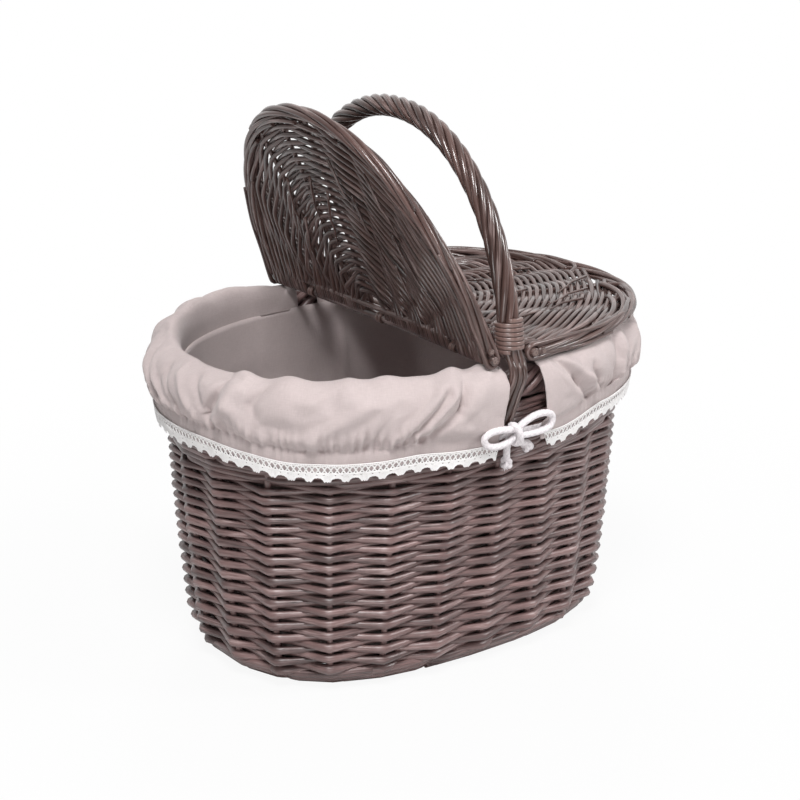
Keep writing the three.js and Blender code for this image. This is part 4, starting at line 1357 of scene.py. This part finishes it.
def fold_height(distance, share):
    """How far the folds move the cloth outwards."""
    total = 0.0
    for d0, s0, d1, s1, width, height in cuff_folds:
        along = min(1.0, max(0.0, (share - s0) / (s1 - s0)))
        beyond = max(0.0, s0 - share, share - s1) / 0.10
        away = (distance - d0 - (d1 - d0) * along) / width
        if abs(away) < 3 and beyond < 2.5:
            total += height * math.exp(-away * away - beyond * beyond)
    return total


def cuff_start(u, v, far_reach):
    """Point of the cuff as it is first laid over the border, u along the hem and v from the seam down."""
    distance = u * cuff_length
    pin = 1 - casing_cut / cuff_cut[1]
    share = min(1.0, v / pin)
    at = share * (len(profile_line) - 1)
    i = min(int(at), len(profile_line) - 2)
    spot = profile_line[i].lerp(profile_line[i + 1], at - i)
    fall = max(0.0, v - pin) / (1 - pin)
    outside = eased_step(share, 0.30, 0.45)
    free = 1 - eased_step(share, 0.90, 1.0)
    lift = hem_lift(distance)
    z = spot.z + (hem_height - casing_top) * fall + lift * eased_step(share, 0.5, 1.0)
    swell = sum(height * hump((distance - middle) / width) for middle, width, height in rim_swells)
    z += swell * hump((share - rim_share) / 0.14)
    bulge = 0.0018 + 0.0016 * hump((distance - 0.205) / 0.070)
    inset = spot.x - outside * free * (bulge + from_slit(distance) * fold_height(distance, share))
    flare = far_reach * eased_step(0.06 - distance, 0.0, 0.06) * (1 - eased_step(share, 0.45, 0.85))
    bow = 0.004 * eased_step(distance, cuff_length - 0.04, cuff_length) * hump((share - 0.5) / 0.2)
    return over_wall(cuff_turn(distance), z, inset) + Vector((flare + bow, 0, 0))


rim_profile = [(0.0135, 0.200), (0.0135, 0.235), (0.0125, 0.2555), (0.0105, 0.2595), (0.0065, 0.2612),
               (0.0015, 0.2600), (-0.0025, 0.2560), (-0.0040, 0.245), (-0.0035, 0.232), (-0.0035, 0.180)]
rim_line = smooth_path([Vector((inset, 0, z)) for inset, z in rim_profile], 0.004)


def rim_place(u, v):
    """Point of the border and wall under the cloth, which the cloth can't pass."""
    spot = rim_line[round(v * (len(rim_line) - 1))]
    return over_wall(-2 * math.pi * u, spot.z, spot.x)


def cut_places(mesh):
    """Where each point of a sheet lies on the flat cloth."""
    corners = np.empty(len(mesh.loops), dtype=int)
    mesh.loops.foreach_get("vertex_index", corners)
    uvs = np.empty(2 * len(corners))
    mesh.uv_layers[0].data.foreach_get("uv", uvs)
    flat = np.zeros((len(mesh.vertices), 3))
    flat[corners, :2] = uvs.reshape(-1, 2)
    return flat


def settle(cuff, frames):
    """Lets the cloth settle over the border: it is held at its seam and casing, and its threads go
    back to the lengths at which it was cut, so what is too long for its place stands in folds."""
    flat = cut_places(cuff.data)
    held = (flat[:, 1] < 0.0001) | (flat[:, 1] > cuff_cut[1] - casing_cut - 0.0001)
    pin = cuff.vertex_groups.new(name="held")
    pin.add([int(i) for i in np.nonzero(held)[0]], 1.0, "REPLACE")
    cuff.shape_key_add(name="start")
    as_cut = cuff.shape_key_add(name="as cut")
    as_cut.data.foreach_set("co", flat.ravel())
    cloth = cuff.modifiers.new("cloth", "CLOTH")
    cloth.settings.quality = 6
    cloth.settings.mass = 0.002
    cloth.settings.tension_stiffness = cloth.settings.compression_stiffness = 6
    cloth.settings.shear_stiffness = 1
    cloth.settings.bending_model = "ANGULAR"
    cloth.settings.bending_stiffness = 0.01
    cloth.settings.tension_damping = cloth.settings.compression_damping = cloth.settings.shear_damping = 0.02
    cloth.settings.bending_damping = 0.001
    cloth.settings.air_damping = 1
    cloth.settings.vertex_group_mass = "held"
    cloth.settings.rest_shape_key = as_cut
    cloth.settings.effector_weights.gravity = 0.3
    cloth.collision_settings.distance_min = 0.001
    cloth.point_cache.frame_end = frames + 1
    for frame_number in range(1, frames + 1):
        scene.frame_set(frame_number)
    settled = bpy.data.meshes.new_from_object(cuff.evaluated_get(bpy.context.evaluated_depsgraph_get()))
    for vertex, first, laid in zip(settled.vertices, cuff.data.vertices, flat):
        vertex.co = first.co.lerp(vertex.co, eased_step(laid[1] / cuff_cut[1], 0.04, 0.30))
    cuff.modifiers.clear()
    cuff.shape_key_clear()
    cuff.vertex_groups.clear()
    cuff.data = settled
    scene.frame_set(1)


def pucker(cuff, far_rise):
    """Adds what the drawn string and wear do to the cloth: small gathers that hang over the casing,
    flutes in the casing, creases above it and a fuller rim towards the far slit."""
    mesh = cuff.data
    pin = 1 - casing_cut / cuff_cut[1]
    for vertex, (across_cut, down_cut, _) in zip(mesh.vertices, cut_places(mesh)):
        distance = across_cut / cuff_cut[0] * cuff_length
        share = down_cut / cuff_cut[1] / pin
        smooth_end = eased_step(distance, 0.030, 0.055) * (1 - eased_step(distance, 0.465, 0.490))
        turn = distance / gather_pitch + 1.3 * noise.noise(Vector((distance * 55, 0, 5)))
        fine = math.sin(2 * math.pi * turn)
        strength = 0.85 + 0.8 * noise.noise(Vector((distance * 70, 0, 7)))
        fine = math.copysign(abs(fine) ** 0.8, fine) * strength
        if share < 1:
            gather = gather_depth * eased_step(share, 0.70, 0.92)
            gather *= (1 - 0.7 * eased_step(share, 0.95, 1.0)) * fine
            hang = overhang * hump((share - 0.925) / 0.040)
            hang *= 0.7 + 0.6 * noise.noise(Vector((distance * 30, 1, 3))) + 0.45 * fine
            bend = 0.6 * noise.noise(Vector((distance * 14, share * 2, 4)))
            ridge = 0.28 - abs(noise.noise(Vector((distance * 46 + bend, share * 2.6 + bend, 9))))
            worn = eased_step(share, 0.12, 0.30) * (1 - eased_step(share, 0.80, 0.95))
            worn *= 0.55 + 0.65 * hump((distance - 0.20) / 0.085)
            crease = crease_depth * worn * ridge
            full = eased_step(distance, 0.0, 0.05) * (1 - eased_step(distance, 0.135, 0.225))
            swell = far_rise * full * hump((share - rim_share) / 0.18)
        else:
            gather = 0.0006 * fine * (1 - 0.5 * min(1.0, (share - 1) * 8))
            hang = crease = swell = 0.0
        slit = from_slit(distance)
        move = vertex.normal * slit * (smooth_end * (gather + hang) + crease)
        vertex.co += Vector((move.x, move.y, 0.6 * move.z + swell - hang_drop * hang * smooth_end * slit))


under_cloth = drawn_sheet("border_under_cloth", 160, 40, rim_place, (1, 1))
under_cloth.modifiers.new("stop", "COLLISION")
under_cloth.collision.thickness_outer = 0.001
under_cloth.collision.thickness_inner = 0.004
under_cloth.collision.cloth_friction = 20
settle_frames = 14
cloth_thickness = 0.0009
cuffs = {}
# How far each cuff leans out and rises at its far slit.
far_ends = (("left", as_made, 0.015, 0.0075), ("right", turned_round, 0.003, 0.0))
for side, spin, far_reach, far_rise in far_ends:
    def laid(u, v):
        return cuff_start(u, v, far_reach)
    cuff = drawn_sheet(f"cuff_{side}_cloth", cuff_columns, cuff_rows, laid, cuff_cut)
    settle(cuff, settle_frames)
    pucker(cuff, far_rise)
    cuff.data.transform(spin)
    finer = cuff.modifiers.new("smooth", "SUBSURF")
    finer.levels = finer.render_levels = 1
    thicken(cuff, cloth_thickness)
    fit(cuff, cotton, "cotton", "basket", f"lining_cuff_{side}")
    cuffs[side] = cuff
bpy.data.objects.remove(under_cloth)

# Lace: a narrow cotton bobbin lace is sewn over the hem of each cuff. From the top it has a straight
# heading with small eyelets, a row of open ovals crossed by threads, and a dense edge in scallops
# of two or three points.
lace_overlap = 0.0065
lace_stand_off = 0.0102
lace_unit = 0.0142
lace_depth = 0.0152
oval_top, oval_foot = 0.0023, 0.0076
hole_drop, hole_size = 0.0094, 0.0010
arch_width, arch_height = 0.0088, 0.0030
lace_white = (0.93, 0.912, 0.906, 1)


def lace_finish():
    finish = Finish("cotton lace", roughness=0.9, sheen_weight=0.15, sheen_roughness=0.5)
    lay = finish.attribute("lay", "Vector")
    ply = finish.noise(lay, (3000, 3000, 900), 2)
    finish.set("Base Color", finish.mixed(ply * 0.5, lace_white, (0.78, 0.755, 0.745, 1)))
    finish.bump(ply, 0.4, 0.0002)
    return finish.material


white_lace = lace_finish()


def lace_place(distance, drop):
    """Point of the lace at a distance along the hem and a drop below its top edge."""
    share = drop / lace_depth
    distance += 0.010 * share * math.exp(-distance / 0.012)
    distance += 0.0016 * share * noise.noise(Vector((distance * 45, 0, 2)))
    ruffle = 0.0016 * noise.noise(Vector((distance * 40, share * 0.6, 8))) * share - 0.0022 * share
    sag = 0.0007 * noise.noise(Vector((distance * 30, 0, 2)))
    z = hem_height + hem_lift(distance) + lace_overlap - drop + sag
    return oval_point(cuff_turn(distance), z, -lace_stand_off - ruffle)


def scallop(distance):
    """Depth of the lace's edge: an arch in each unit, and two or three small points between arches."""
    place = (distance / lace_unit) % 1.0 * lace_unit
    half = arch_width / 2
    from_middle = abs(place - half)
    if from_middle < half:
        return lace_depth - 0.0006 - arch_height * math.sqrt(1 - (from_middle / half) ** 2)
    points = 2 + (math.floor(distance / lace_unit) % 2)
    share = (place - arch_width) / (lace_unit - arch_width)
    return lace_depth - 0.0009 + 0.0009 * abs(math.sin(math.pi * points * share))


lace_threads = []
lace_ends = (0.0006, cuff_length - 0.0006)


def lace_thread(wave, radius, step):
    """One thread along the whole lace: wave gives its drop at a distance along the hem."""
    first, last = lace_ends
    count = round((last - first) / step)
    line = [first + (last - first) * i / count for i in range(count + 1)]
    lace_threads.append([(lace_place(d, wave(d)), radius) for d in line])


for drop, radius in ((0.0004, 0.00042), (0.0019, 0.00036)):
    lace_thread(lambda d: drop, radius, 0.002)
for phase in (0.0, 0.5):
    lace_thread(lambda d: 0.0012 + 0.0007 * math.sin(2 * math.pi * (d / 0.0026 + phase)), 0.00026, 0.0004)
oval_middle, oval_half = (oval_top + oval_foot) / 2, (oval_foot - oval_top) / 2
for phase in (0.0, 0.5):
    for lead in (-0.035, 0.035):
        def crossing(d):
            return oval_middle + oval_half * math.sin(2 * math.pi * (1.5 * d / lace_unit + phase + lead))
        lace_thread(crossing, 0.00030, 0.0006)
dense_rows = 13
for row in range(dense_rows + 1):
    def dense(d):
        drop = oval_foot + 0.0002 + (scallop(d) - oval_foot - 0.0002) * row / dense_rows
        for hole in (0.25, 0.62):
            away = ((d / lace_unit) % 1.0 - hole) * lace_unit / hole_size
            below = (drop - hole_drop) / hole_size
            drop += 0.0008 * math.copysign(1, below) * math.exp(-away * away - abs(below))
        return drop + 0.00022 * math.sin(2 * math.pi * (d / 0.0022 + 0.5 * row))
    lace_thread(dense, 0.00040, 0.00055)
for side, spin in (("left", as_made), ("right", turned_round)):
    runs = [[(spin @ p, r) for p, r in run] for run in lace_threads]
    lace = tubes(f"lace_{side}_threads", runs, 4)
    fit(lace, white_lace, "lace", "basket", f"lace_trim_{side}")
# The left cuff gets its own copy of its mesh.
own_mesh(cuffs["left"])

# Floor and light: the basket stands on a plain white floor under a large soft lamp above the camera's
# left, with weaker ones to the right, at the foot and behind. The room is white where the camera sees it.
stage_white = Finish("white floor", roughness=1.0, base_color=(0.6, 0.6, 0.6, 1))
seen = stage_white.node("ShaderNodeLightPath", {}, output="Is Camera Ray")
spot = stage_white.node("ShaderNodeTexCoord", {}, output="Object")
away = stage_white.node("ShaderNodeVectorMath", {"operation": "LENGTH"}, {0: spot}, "Value")
# Near the basket the floor keeps a little more of its shadow.
plain = stage_white.node("ShaderNodeMapRange", {}, {"Value": away, "From Min": 0.30, "From Max": 0.70,
                                                    "To Min": 0.92, "To Max": 1.0})
glow = stage_white.node("ShaderNodeEmission", {}, {"Color": (1, 1, 1, 1), "Strength": 1.0})
lit = Value(stage_white, stage_white.shader.outputs[0])
blend = stage_white.node("ShaderNodeMixShader", {}, {0: seen * plain, 1: lit, 2: glow})
stage_white.links.new(blend.socket, stage_white.nodes["Material Output"].inputs["Surface"])
bm = bmesh.new()
bmesh.ops.create_grid(bm, x_segments=1, y_segments=1, size=6.0)
floor = mesh_piece("floor", bm)
floor.data.materials.append(stage_white.material)
floor.location.z = -0.0005


class Room(Finish):
    """The world's shader, made with the same nodes as a finish."""

    def __init__(self, name):
        scene.world = bpy.data.worlds.new(name)
        scene.world.use_nodes = True
        self.nodes = scene.world.node_tree.nodes
        self.links = scene.world.node_tree.links
        self.shader = self.nodes["Background"]


room = Room("white room")
room.set("Color", (1, 1, 1, 1))
camera_ray = room.node("ShaderNodeLightPath", {}, output="Is Camera Ray")
mirror_ray = room.node("ShaderNodeLightPath", {}, output="Is Glossy Ray")
way = room.node("ShaderNodeTexCoord", {}, output="Generated")
# What the gloss mirrors is bright behind the basket and darker in front of it.
behind_way = (0.58, 0.81, 0)
behind = room.node("ShaderNodeVectorMath", {"operation": "DOT_PRODUCT"}, {0: way, 1: behind_way}, "Value")
bright_wall = room.node("ShaderNodeMapRange", {}, {"Value": behind, "From Min": -0.2, "From Max": 0.7,
                                                   "To Min": 0.10, "To Max": 1.0})
room.set("Strength", camera_ray + mirror_ray * bright_wall + (1 - camera_ray - mirror_ray) * 0.32)


def lamp(name, place, size, power, mirrored=True):
    light = bpy.data.lights.new(name, "AREA")
    light.shape = "DISK"
    light.size = size
    light.energy = power
    obj = bpy.data.objects.new(name, light)
    obj.location = place
    obj.rotation_euler = (Vector((0, 0, 0.18)) - Vector(place)).to_track_quat("-Z", "Y").to_euler()
    obj.visible_camera = False
    obj.visible_glossy = mirrored
    scene.collection.objects.link(obj)


lamp("soft box", (-0.85, -1.05, 2.4), 0.9, 61)
lamp("side fill", (1.7, -1.6, 1.6), 0.7, 30)
lamp("low fill", (-0.9, -1.25, 0.25), 0.5, 4)
lamp("back fill", (1.0, 1.5, 1.7), 1.0, 24, mirrored=False)
